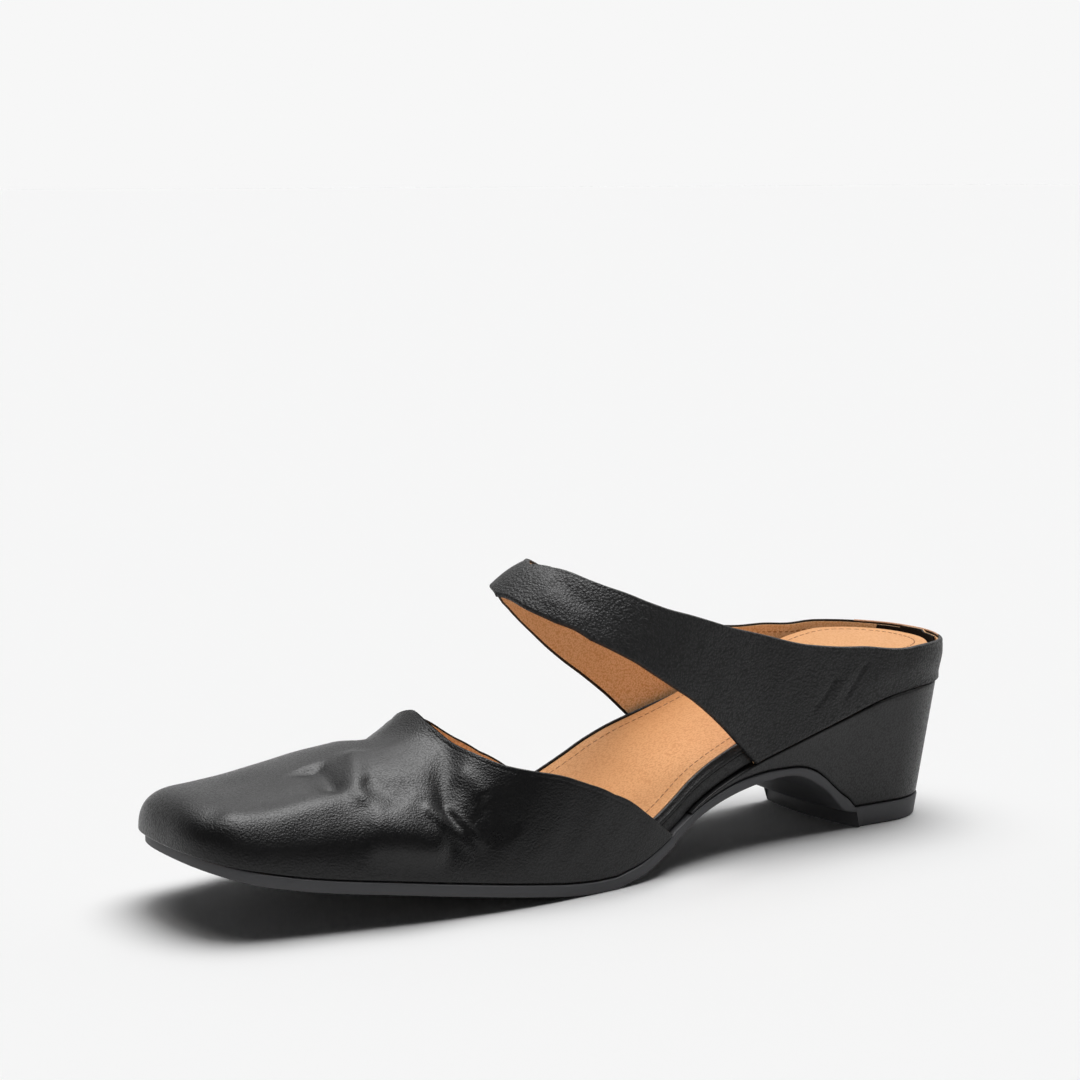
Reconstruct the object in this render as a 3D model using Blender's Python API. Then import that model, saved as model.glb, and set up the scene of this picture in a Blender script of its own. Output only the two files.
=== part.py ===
"""Leather mule with an instep strap: a left shoe with a square toe and a low, arched wedge heel.

X runs from the heel towards the toe, +Y to the wearer's left, which is the outer side, and +Z up.
The origin lies on the floor at the middle of the heel's top piece. All sizes are metres.
"""

import math

import bmesh
import bpy
import numpy as np

for old in list(bpy.data.objects):
    bpy.data.objects.remove(old, do_unlink=True)

# The last's bottom, seen from above
FOOTBED_LENGTH = 0.2509
BALL_WIDTH = 0.0740
HEEL_ROUND = 0.0252
TOE_ROUND = 0.0132
HEEL_SQUARENESS = 2.1
TOE_SQUARENESS = 2.5
TOE_SHELF = 0.0175
HEEL_SHELF = 0.0242
HEEL_SETBACK = 0.0227

# Heights
HEEL_HEIGHT = 0.0410
TOE_SPRING = 0.0175
INSTEP_DEPTH = 0.0800
TOE_BOX_DEPTH = 0.0107

# Thicknesses
UPPER_WALL = 0.0018
FOOTBED_THICKNESS = 0.0068
FOOTBED_TOE_THICKNESS = 0.0040
SOCK_THICKNESS = 0.0012
OUTSOLE_THICKNESS = 0.0032
TOP_PIECE_THICKNESS = 0.0062

# The footbed's top rises to the inner side of the arch by ARCH_CANT, between these stations
ARCH_CANT = 0.0014
CANT_START = 0.12
CANT_FULL = 0.34
CANT_FADE = 0.44
CANT_END = 0.62

# The footbed thins between these stations
THIN_START = 0.70
THIN_END = 0.95

# Clearances and small margins
SEAT_GAP = 0.0003
WELT_MARGIN = 0.0004
SOCK_INSET = 0.0020
SOCK_HEEL_INSET = 0.0006
EDGE_ROLL = 0.0006
COVER_SIDE_INSET = 0.0006
COVER_BACK_INSET = 0.0034

# Heel block
SIDE_TAPER = 0.0066
BACK_TAPER = 0.0060
BREAST_SETBACK = 0.0387
LIP_HEIGHT = 0.0044
LIP_BOW = 0.0024
LIP_BOW_PLACES = 3
ARCH_STATION = 0.454
WELT_STATION = 0.536
WEDGE_STATION = 0.429

# The footbed's half widths as shares of BALL_WIDTH
PLAN = (
    # station, outer side, inner side
    (0.00, 0.335, 0.345),
    (0.10, 0.338, 0.345),
    (0.20, 0.325, 0.335),
    (0.30, 0.322, 0.322),
    (0.40, 0.365, 0.350),
    (0.50, 0.435, 0.405),
    (0.58, 0.464, 0.448),
    (0.66, 0.475, 0.485),
    (0.75, 0.455, 0.498),
    (0.84, 0.405, 0.470),
    (0.92, 0.350, 0.425),
    (1.00, 0.290, 0.370),
)

# The footbed's underside, as shares of the rise from the tread to HEEL_HEIGHT
SEAT_CURVE = (
    # station, rise
    (0.000, 1.00),
    (0.069, 1.00),
    (0.113, 0.97),
    (0.202, 0.815),
    (0.292, 0.645),
    (0.338, 0.56),
    (0.386, 0.46),
    (0.419, 0.365),
    (0.449, 0.25),
    (0.480, 0.14),
    (0.510, 0.055),
    (0.546, 0.00),
)

# The lift ahead of the tread, as shares of TOE_SPRING
SPRING_CURVE = (
    # station, lift
    (0.576, 0.00),
    (0.609, 0.04),
    (0.648, 0.12),
    (0.789, 0.42),
    (0.896, 0.64),
    (0.946, 0.79),
    (1.000, 1.00),
)

# The ridge along the top of the last
RIDGE = (
    # station, depth between TOE_BOX_DEPTH and INSTEP_DEPTH, shift to the outer side, squareness
    (0.000, 0.72, 0.000, 2.3),
    (0.196, 0.95, 0.000, 2.3),
    (0.399, 1.05, -0.005, 2.2),
    (0.490, 1.05, -0.010, 2.1),
    (0.557, 0.985, -0.020, 2.1),
    (0.601, 0.865, -0.030, 2.0),
    (0.700, 0.405, -0.035, 2.0),
    (0.744, 0.283, -0.035, 2.1),
    (0.808, 0.203, -0.045, 2.4),
    (0.883, 0.117, -0.045, 2.6),
    (0.939, 0.052, -0.045, 2.7),
    (1.000, 0.000, -0.045, 2.8),
)

# The vamp's wings and throat, from the wing ends (0) to the peak over the instep (1)
THROAT = (
    # place, sole station, outer station, outer turn, inner station, inner turn
    (0.00, 0.463, 0.466, 0.010, 0.466, 0.010),
    (0.20, 0.508, 0.524, 0.142, 0.518, 0.126),
    (0.40, 0.568, 0.595, 0.246, 0.587, 0.246),
    (0.55, 0.622, 0.642, 0.334, 0.616, 0.318),
    (0.70, 0.670, 0.677, 0.462, 0.650, 0.415),
    (0.85, 0.712, 0.702, 0.680, 0.695, 0.600),
    (0.93, 0.732, 0.706, 0.840, 0.708, 0.790),
    (1.00, 0.748, 0.702, 1.000, 0.702, 1.000),
)

# The rear upper's edges on the outer side, from the top of the strap (0) to its front corner (1)
OUTER_STRAP = (
    # place, front station, front turn, collar station, collar turn
    (0.00, 0.599, 1.000, 0.557, 1.000),
    (0.12, 0.594, 0.830, 0.545, 0.880),
    (0.25, 0.578, 0.681, 0.523, 0.725),
    (0.40, 0.544, 0.546, 0.476, 0.565),
    (0.55, 0.493, 0.409, 0.420, 0.423),
    (0.70, 0.440, 0.271, 0.363, 0.332),
    (0.85, 0.386, 0.140, 0.306, 0.271),
    (1.00, 0.326, 0.000, 0.248, 0.213),
)

# The same on the inner side, where the strap lies further back
INNER_STRAP = (
    # place, front station, front turn, collar station, collar turn
    (0.00, 0.599, 1.000, 0.557, 1.000),
    (0.12, 0.586, 0.850, 0.530, 0.800),
    (0.25, 0.562, 0.685, 0.487, 0.620),
    (0.40, 0.529, 0.540, 0.430, 0.465),
    (0.55, 0.484, 0.393, 0.372, 0.355),
    (0.70, 0.430, 0.240, 0.318, 0.287),
    (0.85, 0.376, 0.110, 0.272, 0.235),
    (1.00, 0.330, 0.000, 0.226, 0.188),
)

# The quarter's edges, from the strap's front corner (1) to the back of the heel (2)
OUTER_QUARTER = (
    # place, sole station, collar station, collar turn
    (1.00, 0.326, 0.248, 0.213),
    (1.30, 0.225, 0.172, 0.158),
    (1.60, 0.130, 0.095, 0.115),
    (2.00, 0.000, 0.000, 0.116),
)

INNER_QUARTER = (
    # place, sole station, collar station, collar turn
    (1.00, 0.330, 0.226, 0.188),
    (1.30, 0.230, 0.157, 0.144),
    (1.60, 0.130, 0.090, 0.115),
    (2.00, 0.000, 0.000, 0.116),
)

# The outsole's band from the top piece's front lip (0) up under the arch (ARCH_COUNT): distances
# ahead of the lip as shares of the arch's span, heights as shares of HEEL_HEIGHT
ARCH = (
    # place, lower distance, lower height, upper distance, upper height
    (1, 0.073, 0.139, 0.061, 0.220),
    (2, 0.120, 0.210, 0.108, 0.280),
    (3, 0.171, 0.298, 0.153, 0.346),
    (4, 0.236, 0.380, 0.205, 0.424),
    (5, 0.300, 0.441, 0.263, 0.488),
    (6, 0.359, 0.476, 0.316, 0.521),
    (7, 0.425, 0.485, 0.366, 0.534),
    (8, 0.520, 0.472, 0.470, 0.539),
    (9, 0.650, 0.438, 0.620, 0.517),
    (10, 0.757, 0.395, 0.757, 0.466),
    (11, 0.863, 0.330, 0.863, 0.400),
)
ARCH_COUNT = 12
LIP_TOP = 0.024

TREAD_HEIGHT = OUTSOLE_THICKNESS + SEAT_GAP
HEEL_TURN = HEEL_ROUND * math.pi / 2
TOE_TURN = TOE_ROUND * math.pi / 2
RUN = FOOTBED_LENGTH - HEEL_ROUND - TOE_ROUND + HEEL_TURN + TOE_TURN
OUTER, INNER = 1.0, -1.0
STEP = 1e-5
WELD = 2e-5
SHARP_ANGLE = math.radians(40)


def through(places, values, at):
    """A smooth curve through the values, whose slopes are harmonic means, so it never overshoots."""
    places, values = np.asarray(places, float), np.asarray(values, float)
    span = np.diff(places)
    rise = np.diff(values) / span
    slope = np.concatenate((rise[:1], np.zeros(len(rise) - 1), rise[-1:]))
    same = rise[:-1] * rise[1:] > 0
    total = np.where(same, rise[:-1] + rise[1:], 1.0)
    slope[1:-1] = np.where(same, 2 * rise[:-1] * rise[1:] / total, 0.0)
    at = np.clip(at, places[0], places[-1])
    row = np.clip(np.searchsorted(places, at, side="right") - 1, 0, len(span) - 1)
    t = (at - places[row]) / span[row]
    start = values[row] * (1 + 2 * t) * (1 - t) ** 2 + values[row + 1] * t * t * (3 - 2 * t)
    return start + span[row] * t * (1 - t) * (slope[row] * (1 - t) - slope[row + 1] * t)


def column(table, number, at):
    """The smooth curve through one column of a table whose first column says where."""
    rows = np.array(table)
    return through(rows[:, 0], rows[:, number], at)


def eased(value, start, end):
    """A smooth step from 0 at the start to 1 at the end."""
    share = np.clip((value - start) / (end - start), 0, 1)
    return share * share * (3 - 2 * share)


def rounded(turn, squareness):
    """Shares of depth and width on a superellipse's quarter, from its tip at a turn of 0."""
    deep, wide = np.cos(turn), np.sin(turn)
    size = (np.abs(deep) ** squareness + np.abs(wide) ** squareness) ** (1 / squareness)
    return deep / size, wide / size


def fold(run, side):
    """A run past either end comes back along the other side."""
    past = (run < 0) | (run > RUN)
    return np.where(run < 0, -run, np.where(run > RUN, 2 * RUN - run, run)), np.where(past, -side, side)


def distance(run):
    """Distance ahead of the footbed's back end, for a run along its edge from the heel."""
    heel = np.clip(run / HEEL_ROUND, 0, math.pi / 2)
    toe = np.clip((RUN - run) / TOE_ROUND, 0, math.pi / 2)
    back = rounded(heel, HEEL_SQUARENESS)[0]
    front = rounded(toe, TOE_SQUARENESS)[0]
    return HEEL_ROUND * (1 - back) + np.clip(run, HEEL_TURN, RUN - TOE_TURN) - HEEL_TURN + TOE_ROUND * front


def run_at(station):
    """The run whose distance is the given share of FOOTBED_LENGTH."""
    runs = np.linspace(0, RUN, 4001)
    return np.interp(np.asarray(station) * FOOTBED_LENGTH, distance(runs), runs)


def plan_point(run, side):
    """A point of the footbed's outline: its half width is BALL_WIDTH times the plan's share."""
    run, side = fold(run, side)
    ahead = distance(run)
    station = ahead / FOOTBED_LENGTH
    heel = rounded(np.clip(run / HEEL_ROUND, 0, math.pi / 2), HEEL_SQUARENESS)[1]
    toe = rounded(np.clip((RUN - run) / TOE_ROUND, 0, math.pi / 2), TOE_SQUARENESS)[1]
    share = np.where(side > 0, column(PLAN, 1, station), column(PLAN, 2, station))
    return ahead - HEEL_SETBACK, side * BALL_WIDTH * share * heel * toe


def plan_normal(run, side):
    """The outline's outward direction, square to the chord over a short run."""
    x0, y0 = plan_point(run - STEP, side)
    x1, y1 = plan_point(run + STEP, side)
    size = np.hypot(x1 - x0, y1 - y0)
    return -side * (y1 - y0) / size, side * (x1 - x0) / size


def plan_edge(run, side, out):
    """The outline moved outwards by a distance."""
    x, y = plan_point(run, side)
    across, along = plan_normal(run, side)
    return x + across * out, y + along * out


def seat_height(x):
    """The footbed's underside: level seat, slope through the arch, tread and toe spring."""
    station = (x + HEEL_SETBACK) / FOOTBED_LENGTH
    rise = column(SEAT_CURVE, 1, station) * (HEEL_HEIGHT - TREAD_HEIGHT)
    return TREAD_HEIGHT + rise + column(SPRING_CURVE, 1, station) * TOE_SPRING


def footbed_depth(x):
    """The footbed's thickness, which thins under the vamp towards the toe."""
    station = (x + HEEL_SETBACK) / FOOTBED_LENGTH
    thinned = eased(station, THIN_START, THIN_END)
    return FOOTBED_THICKNESS + (FOOTBED_TOE_THICKNESS - FOOTBED_THICKNESS) * thinned


def ridge_point(run):
    """The last's ridge over a run: it follows the edge and stops short of the heel and toe ends."""
    heel_span = HEEL_SHELF / (1 - 2 / math.pi)
    toe_span = TOE_SHELF / (1 - 2 / math.pi)
    back = np.clip(1 - run / heel_span, 0, 1)
    front = np.clip(1 - (RUN - run) / toe_span, 0, 1)
    middle = np.clip(run, heel_span, RUN - toe_span)
    x = middle - heel_span * 2 / math.pi * np.sin(back * math.pi / 2)
    x = x + toe_span * 2 / math.pi * np.sin(front * math.pi / 2)
    x = x - HEEL_TURN + HEEL_ROUND - HEEL_SETBACK
    station = (x + HEEL_SETBACK) / FOOTBED_LENGTH
    depth = TOE_BOX_DEPTH + column(RIDGE, 1, station) * (INSTEP_DEPTH - TOE_BOX_DEPTH)
    return x, BALL_WIDTH * column(RIDGE, 2, station), seat_height(x) + depth


def last_point(run, side, turn, out=SEAT_GAP):
    """A point of the last: each rib is a superellipse's quarter from the feather edge to the ridge."""
    side = np.where(turn > 1, -side, side)
    turn = np.where(turn > 1, 2 - turn, turn)
    run, side = fold(run, side)
    edge_x, edge_y = plan_edge(run, side, out)
    top_x, top_y, top_z = ridge_point(run)
    low = seat_height(edge_x)
    square = column(RIDGE, 3, distance(run) / FOOTBED_LENGTH)
    wide, tall = rounded(turn * math.pi / 2, square)
    return np.stack((top_x + (edge_x - top_x) * wide, top_y + (edge_y - top_y) * wide,
                     low + (top_z - low) * tall), -1)


def outward(run, side, turn):
    """The direction square to the last's surface, away from it."""
    turn_step = 1e-4
    inside = np.clip(turn, turn_step, 1 - turn_step)
    along = last_point(run + STEP, side, inside) - last_point(run - STEP, side, inside)
    around = last_point(run, side, inside + turn_step) - last_point(run, side, inside - turn_step)
    normal = np.cross(around, along) * np.expand_dims(side, -1)
    return normal / np.linalg.norm(normal, axis=-1, keepdims=True)


def wall_point(run, side, turn, depth):
    """A point outside the last by a depth: along the ridge, both sides share one direction."""
    normal = outward(run, side, turn)
    ridge = normal + outward(run, -side, turn)
    ridge /= np.linalg.norm(ridge, axis=-1, keepdims=True)
    point = last_point(run, side, turn) + np.where(np.expand_dims(turn, -1) < 1, normal, ridge) * depth
    point[..., 2] = np.where(turn == 0, seat_height(point[..., 0]), point[..., 2])
    return point


def at_height(run, side, height, out):
    """A point beside the last's foot at a height over the feather edge, in by the last's own curve."""
    low_x = plan_point(run, side)[0]
    top_x, top_y, top_z = ridge_point(run)
    edge_x, edge_y = plan_edge(run, side, out)
    square = column(RIDGE, 3, distance(run) / FOOTBED_LENGTH)
    share = height / (top_z - seat_height(low_x))
    wide = (1 - share ** square) ** (1 / square)
    return top_x + (edge_x - top_x) * wide, top_y + (edge_y - top_y) * wide


def material(name, colour, roughness, coat=0.0):
    """A Principled material for one piece."""
    made = bpy.data.materials.new(name)
    made.use_nodes = True
    shader = made.node_tree.nodes["Principled BSDF"]
    shader.inputs["Base Color"].default_value = (*colour, 1.0)
    shader.inputs["Roughness"].default_value = roughness
    shader.inputs["Metallic"].default_value = 0.0
    shader.inputs["Coat Weight"].default_value = coat
    made.diffuse_color = (*colour, 1.0)
    return made


def piece(name, grids, finish):
    """One closed body from grids of points, whose shared edges are merged."""
    points, faces, count = [], [], 0
    for grid in grids:
        rows, columns = grid.shape[:2]
        number = np.arange(rows * columns).reshape(rows, columns) + count
        quads = np.stack((number[:-1, :-1], number[1:, :-1], number[1:, 1:], number[:-1, 1:]), -1)
        points.append(grid.reshape(-1, 3))
        faces.extend(quads.reshape(-1, 4).tolist())
        count += rows * columns
    mesh = bpy.data.meshes.new(name)
    mesh.from_pydata(np.concatenate(points).tolist(), [], faces)
    body = bmesh.new()
    body.from_mesh(mesh)
    bmesh.ops.remove_doubles(body, verts=body.verts, dist=WELD)
    bmesh.ops.dissolve_degenerate(body, edges=body.edges, dist=WELD)
    bmesh.ops.triangulate(body, faces=body.faces, quad_method="SHORT_EDGE")
    bmesh.ops.recalc_face_normals(body, faces=body.faces)
    body.to_mesh(mesh)
    body.free()
    mesh.shade_smooth()
    mesh.set_sharp_from_angle(angle=SHARP_ANGLE)
    made = bpy.data.objects.new(name, mesh)
    made.data.materials.append(finish)
    bpy.context.collection.objects.link(made)
    return made


def mixed(low, high, count):
    """Rows of values from low to high, one row for each share between them."""
    share = np.linspace(0, 1, count + 1)[:, None]
    return low + (high - low) * share


def shell(low_run, low_turn, high_run, high_turn, count, side):
    """The outer and inner faces of a leather wall between two edges drawn on the last."""
    runs, turns = mixed(low_run, high_run, count), mixed(low_turn, high_turn, count)
    sides = np.full(runs.shape, side)
    return wall_point(runs, sides, turns, UPPER_WALL), wall_point(runs, sides, turns, 0.0)


def rim(outer, inner):
    """The strip that closes a wall along one edge."""
    return np.stack((outer, inner))


def build_vamp(finish):
    """The vamp: from the wing ends round the toe, with the throat line over the instep."""
    grids = []
    for side, number in ((OUTER, 2), (INNER, 4)):
        throat = np.linspace(0, 1, 16)
        toe = np.linspace(1, 2, 17)[1:]
        low = np.concatenate((run_at(column(THROAT, 1, throat)), run_at(THROAT[-1][1]) + (toe - 1)
                              * (RUN - run_at(THROAT[-1][1]))))
        crest = run_at(THROAT[-1][number])
        high = np.concatenate((run_at(column(THROAT, number, throat)), crest + (toe - 1) * (RUN - crest)))
        turn = np.concatenate((column(THROAT, number + 1, throat), np.ones(len(toe))))
        outer, inner = shell(low, 0 * low, high, turn, 12, side)
        grids += [outer, inner, rim(outer[0], inner[0]), rim(outer[:, 0], inner[:, 0])]
        grids.append(rim(outer[-1, :len(throat)], inner[-1, :len(throat)]))
    return piece("vamp", grids, finish)


def build_quarter_strap(finish):
    """The rear upper: an instep strap that widens into the quarter and runs round the heel."""
    grids = []
    tables = ((OUTER, OUTER_STRAP, OUTER_QUARTER), (INNER, INNER_STRAP, INNER_QUARTER))
    for side, strap_edges, quarter_edges in tables:
        strap = np.linspace(0, 1, 18)
        quarter = np.linspace(1, 2, 20)[1:]
        low_station = np.concatenate((column(strap_edges, 1, strap), column(quarter_edges, 1, quarter)))
        low_run = run_at(low_station)
        low_turn = np.concatenate((column(strap_edges, 2, strap), 0 * quarter))
        rows = [(row[0], row[3], row[4]) for row in strap_edges] + [
            (row[0], row[2], row[3]) for row in quarter_edges[1:]]
        place = np.concatenate((strap, quarter))
        knots = [row[0] for row in rows]
        high_run = through(knots, run_at([row[1] for row in rows]), place)
        high_turn = through(knots, [row[2] for row in rows], place)
        low_knots = [row[0] for row in quarter_edges]
        low_run[len(strap):] = through(low_knots, run_at([row[1] for row in quarter_edges]), quarter)
        outer, inner = shell(low_run, low_turn, high_run, high_turn, 7, side)
        grids += [outer, inner, rim(outer[0], inner[0]), rim(outer[-1], inner[-1])]
    return piece("quarter_strap", grids, finish)


def stations(front, back, count):
    """Runs from a front station to a back station, evenly spaced along the edge."""
    return np.linspace(run_at(front), run_at(back), count)


def tube(sections):
    """A grid round a row of closed sections, with caps over its two ends."""
    ring = np.concatenate((sections, sections[:, :1]), 1)
    half = sections.shape[1] // 2
    ends = [np.stack((end[:half], end[:half - 1:-1])) for end in (sections[0], sections[-1])]
    return [ring, *ends]


def arch_cant(x, y):
    """How far the footbed's top is raised on the inner side, and lowered on the outer, of the arch."""
    station = (x + HEEL_SETBACK) / FOOTBED_LENGTH
    share = eased(station, CANT_START, CANT_FULL) * (1 - eased(station, CANT_FADE, CANT_END))
    return -ARCH_CANT * share * y / (BALL_WIDTH / 2)


def board(low_of, high_of, levels, runs):
    """Sections of a board, round its edge: each level is a share of its thickness and an inset."""
    sides = []
    for side in (OUTER, INNER):
        side_of = np.full(runs.shape, side)
        plan = plan_point(runs, side_of)
        low, high = low_of(*plan), high_of(*plan)
        feather = seat_height(plan[0])
        points = []
        for share, inset in levels:
            z = low + (high - low) * share
            x, y = at_height(runs, side_of, np.maximum(z - feather, 0), -inset)
            points.append(np.stack((x, y, low_of(x, y) + (high_of(x, y) - low_of(x, y)) * share), -1))
        sides.append(np.stack(points, 1))
    return np.concatenate((sides[0], sides[1][:, ::-1]), 1)


def footbed_top(x, y):
    """The footbed's upper face."""
    return seat_height(x) + footbed_depth(x) + arch_cant(x, y)


def build_footbed(finish):
    """The insole board, wrapped in leather: its edge follows the last, and it fills the upper's foot."""
    levels = ((0.0, EDGE_ROLL), (0.15, 0.0), (0.85, 0.0), (1.0, EDGE_ROLL))
    runs = stations(0, 1, 84)
    sections = board(lambda x, y: seat_height(x), footbed_top, levels, runs)
    return piece("footbed", tube(sections)[:1], finish)


def sock_base(x, y):
    """The sock's underside, a clearance above the footbed."""
    return footbed_top(x, y) + SEAT_GAP


def build_insole_sock(finish):
    """The tan sock glued over the footbed, set in from its edge."""
    runs = stations(0, 1, 76)
    inset = SOCK_INSET + SOCK_HEEL_INSET * np.clip(1 - runs / HEEL_TURN, 0, 1)
    levels = ((0.0, inset), (1.0, inset))
    sections = board(sock_base, lambda x, y: sock_base(x, y) + SOCK_THICKNESS, levels, runs)
    return piece("insole_sock", tube(sections)[:1], finish)


def cover_out(run, side, z):
    """How far the heel's leather cover stands out from the footbed's edge: less with depth."""
    across, along = plan_normal(run, side)
    depth = np.maximum(seat_height(plan_point(run, side)[0]) - z, 0) / HEEL_HEIGHT
    inset = COVER_SIDE_INSET * along ** 2 + COVER_BACK_INSET * across ** 2
    return SEAT_GAP + UPPER_WALL - inset - depth * (SIDE_TAPER * along ** 2 + BACK_TAPER * across ** 2)


def sole_out(run, side, z):
    """The outsole stands a margin proud of the cover, and of the vamp ahead of the arch."""
    welt = eased(distance(run) / FOOTBED_LENGTH, ARCH_STATION, WELT_STATION)
    return cover_out(run, side, z) + WELT_MARGIN + COVER_SIDE_INSET * welt


def sole_high(x):
    """The outsole's upper face ahead of the arch."""
    return seat_height(x) - SEAT_GAP


def sole_low(x):
    """The outsole's lower face ahead of the arch: its thickness is measured square to its slope."""
    slope = (seat_height(x + STEP) - seat_height(x - STEP)) / (2 * STEP)
    return np.maximum(sole_high(x) - OUTSOLE_THICKNESS * np.sqrt(1 + slope ** 2), 0.0)


ARCH_X = ARCH_STATION * FOOTBED_LENGTH - HEEL_SETBACK
LIP_X = BREAST_SETBACK - HEEL_SETBACK
ARCH_SPAN = ARCH_X - LIP_X
ARCH_ENDS = (
    (0, 0.0, LIP_HEIGHT, LIP_TOP * ARCH_SPAN, TOP_PIECE_THICKNESS),
    (ARCH_COUNT, ARCH_SPAN, sole_low(ARCH_X), ARCH_SPAN, sole_high(ARCH_X)),
)


def arch_profile(places):
    """The band's lower and upper lines in side view."""
    rows = [(place, low * ARCH_SPAN, low_z * HEEL_HEIGHT, high * ARCH_SPAN, high_z * HEEL_HEIGHT)
            for place, low, low_z, high, high_z in ARCH]
    rows = [ARCH_ENDS[0], *rows, ARCH_ENDS[1]]
    low_x, low_z, high_x, high_z = (column(rows, number, places) for number in (1, 2, 3, 4))
    return LIP_X + low_x, low_z, LIP_X + high_x, high_z


def band_top(x):
    """The top of the outsole and its heel piece at a place along the shoe, ahead of which it is level."""
    places = np.linspace(0, ARCH_COUNT, 221)
    high_x, high_z = arch_profile(places)[2:]
    return np.interp(x, high_x, high_z)


def across(outer, inner, count):
    """Points from the outer to the inner side."""
    return outer[:, None] + (inner - outer)[:, None] * np.linspace(0, 1, count + 1)[None, :, None]


def level_points(run, z, side, out_of):
    """Points of an edge at the given heights."""
    side = np.full(run.shape, side)
    x, y = plan_edge(run, side, out_of(run, side, z))
    return np.stack((x, y, z + 0 * x), -1)


def arch_points(x, z, side):
    """Points of the outsole's edge at the given places and heights."""
    run = run_at((x + HEEL_SETBACK) / FOOTBED_LENGTH)
    side = np.full(run.shape, side)
    y = plan_edge(run, side, sole_out(run, side, z))[1]
    return np.stack((x, y, z), -1)


def build_outsole(finish):
    """The rubber outsole: forepart, band under the arch, and heel top piece with its front lip."""
    count = 6
    lows, highs = [], []
    runs = stations(1, ARCH_STATION, 46)[:-1]
    sides = []
    for side in (OUTER, INNER):
        seat = seat_height(plan_point(runs, np.full(runs.shape, side))[0])
        edge = level_points(runs, seat, side, sole_out)
        high = edge.copy()
        high[:, 2] = sole_high(edge[:, 0])
        low = edge.copy()
        low[:, 2] = sole_low(edge[:, 0])
        sides.append((low, high))
    lows.append(across(sides[0][0], sides[1][0], count))
    highs.append(across(sides[0][1], sides[1][1], count))
    places = np.linspace(ARCH_COUNT, 0, 30)
    low_x, low_z, high_x, high_z = arch_profile(places)
    low = across(arch_points(low_x, low_z, OUTER), arch_points(low_x, low_z, INNER), count)
    high = across(arch_points(high_x, high_z, OUTER), arch_points(high_x, high_z, INNER), count)
    bow = LIP_BOW * (1 - np.linspace(-1, 1, count + 1) ** 2)
    low[:, :, 0] += np.clip(1 - places / LIP_BOW_PLACES, 0, 1)[:, None] * bow
    lip = low[-1:].copy()
    lip[:, :, 2] = 0
    lows += [low, lip]
    highs += [high, high[-1:]]
    runs = stations(BREAST_SETBACK / FOOTBED_LENGTH, 0, 18)[1:]
    slab = [[level_points(runs, z, side, sole_out) for side in (OUTER, INNER)]
            for z in (0.0, TOP_PIECE_THICKNESS)]
    lows.append(across(*slab[0], count))
    highs.append(across(*slab[1], count))
    low, high = np.concatenate(lows), np.concatenate(highs)
    return piece("outsole", tube(np.concatenate((low, high[:, ::-1]), 1))[:1], finish)


def build_heel_wedge(finish):
    """The heel block, covered in leather, which thins forwards into a tongue under the arch."""
    count, levels = 6, 5
    runs = stations(WEDGE_STATION, 0, 46)
    edges = []
    for side in (OUTER, INNER):
        side_of = np.full(runs.shape, side)
        x = plan_point(runs, side_of)[0]
        top, bottom = seat_height(x) - SEAT_GAP, band_top(x) + SEAT_GAP
        rows = []
        for share in np.linspace(0, 1, levels + 1):
            point = level_points(runs, top + (bottom - top) * share, side, cover_out)
            high, low = seat_height(point[:, 0]) - SEAT_GAP, band_top(point[:, 0]) + SEAT_GAP
            point[:, 2] = high + (low - high) * share
            rows.append(point)
        edges.append(rows)
    over = across(edges[1][0], edges[0][0], count)
    under = across(edges[0][-1], edges[1][-1], count)
    under[:, :, 2] = band_top(under[:, :, 0]) + SEAT_GAP
    over[:, :, 2] = seat_height(over[:, :, 0]) - SEAT_GAP
    outer = np.stack(edges[0][1:-1], 1)
    inner = np.stack(edges[1][1:-1], 1)[:, ::-1]
    return piece("heel_wedge", wedge_grids(over, outer, under, inner), finish)


def wedge_grids(over, outer, under, inner):
    """The closed skin round the wedge, and the small face at the front of its tongue."""
    ring = np.concatenate((over, outer, under, inner, over[:, :1]), 1)
    rows = [over[0]]
    height = outer.shape[1]
    for number in range(height):
        left, right = inner[0, height - 1 - number], outer[0, number]
        rows.append(left + (right - left) * np.linspace(0, 1, over.shape[1])[:, None])
    rows.append(under[0, ::-1])
    return [ring, np.stack(rows)]


BLACK = (0.012, 0.012, 0.013)
build_outsole(material("outsole_rubber", (0.022, 0.022, 0.023), 0.62))
build_heel_wedge(material("heel_cover_leather", BLACK, 0.34))
build_footbed(material("footbed_edge_leather", BLACK, 0.42))
build_insole_sock(material("sock_leather", (0.72, 0.42, 0.20), 0.60))
build_vamp(material("vamp_leather", BLACK, 0.34, 0.2))
build_quarter_strap(material("quarter_leather", BLACK, 0.38, 0.2))
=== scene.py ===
"""A left leather mule: square toe, instep strap, tan sock and a low, arched wedge heel.

X runs from the heel towards the toe, +Y to the outer side, +Z up. All sizes are metres.
"""

import math

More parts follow.
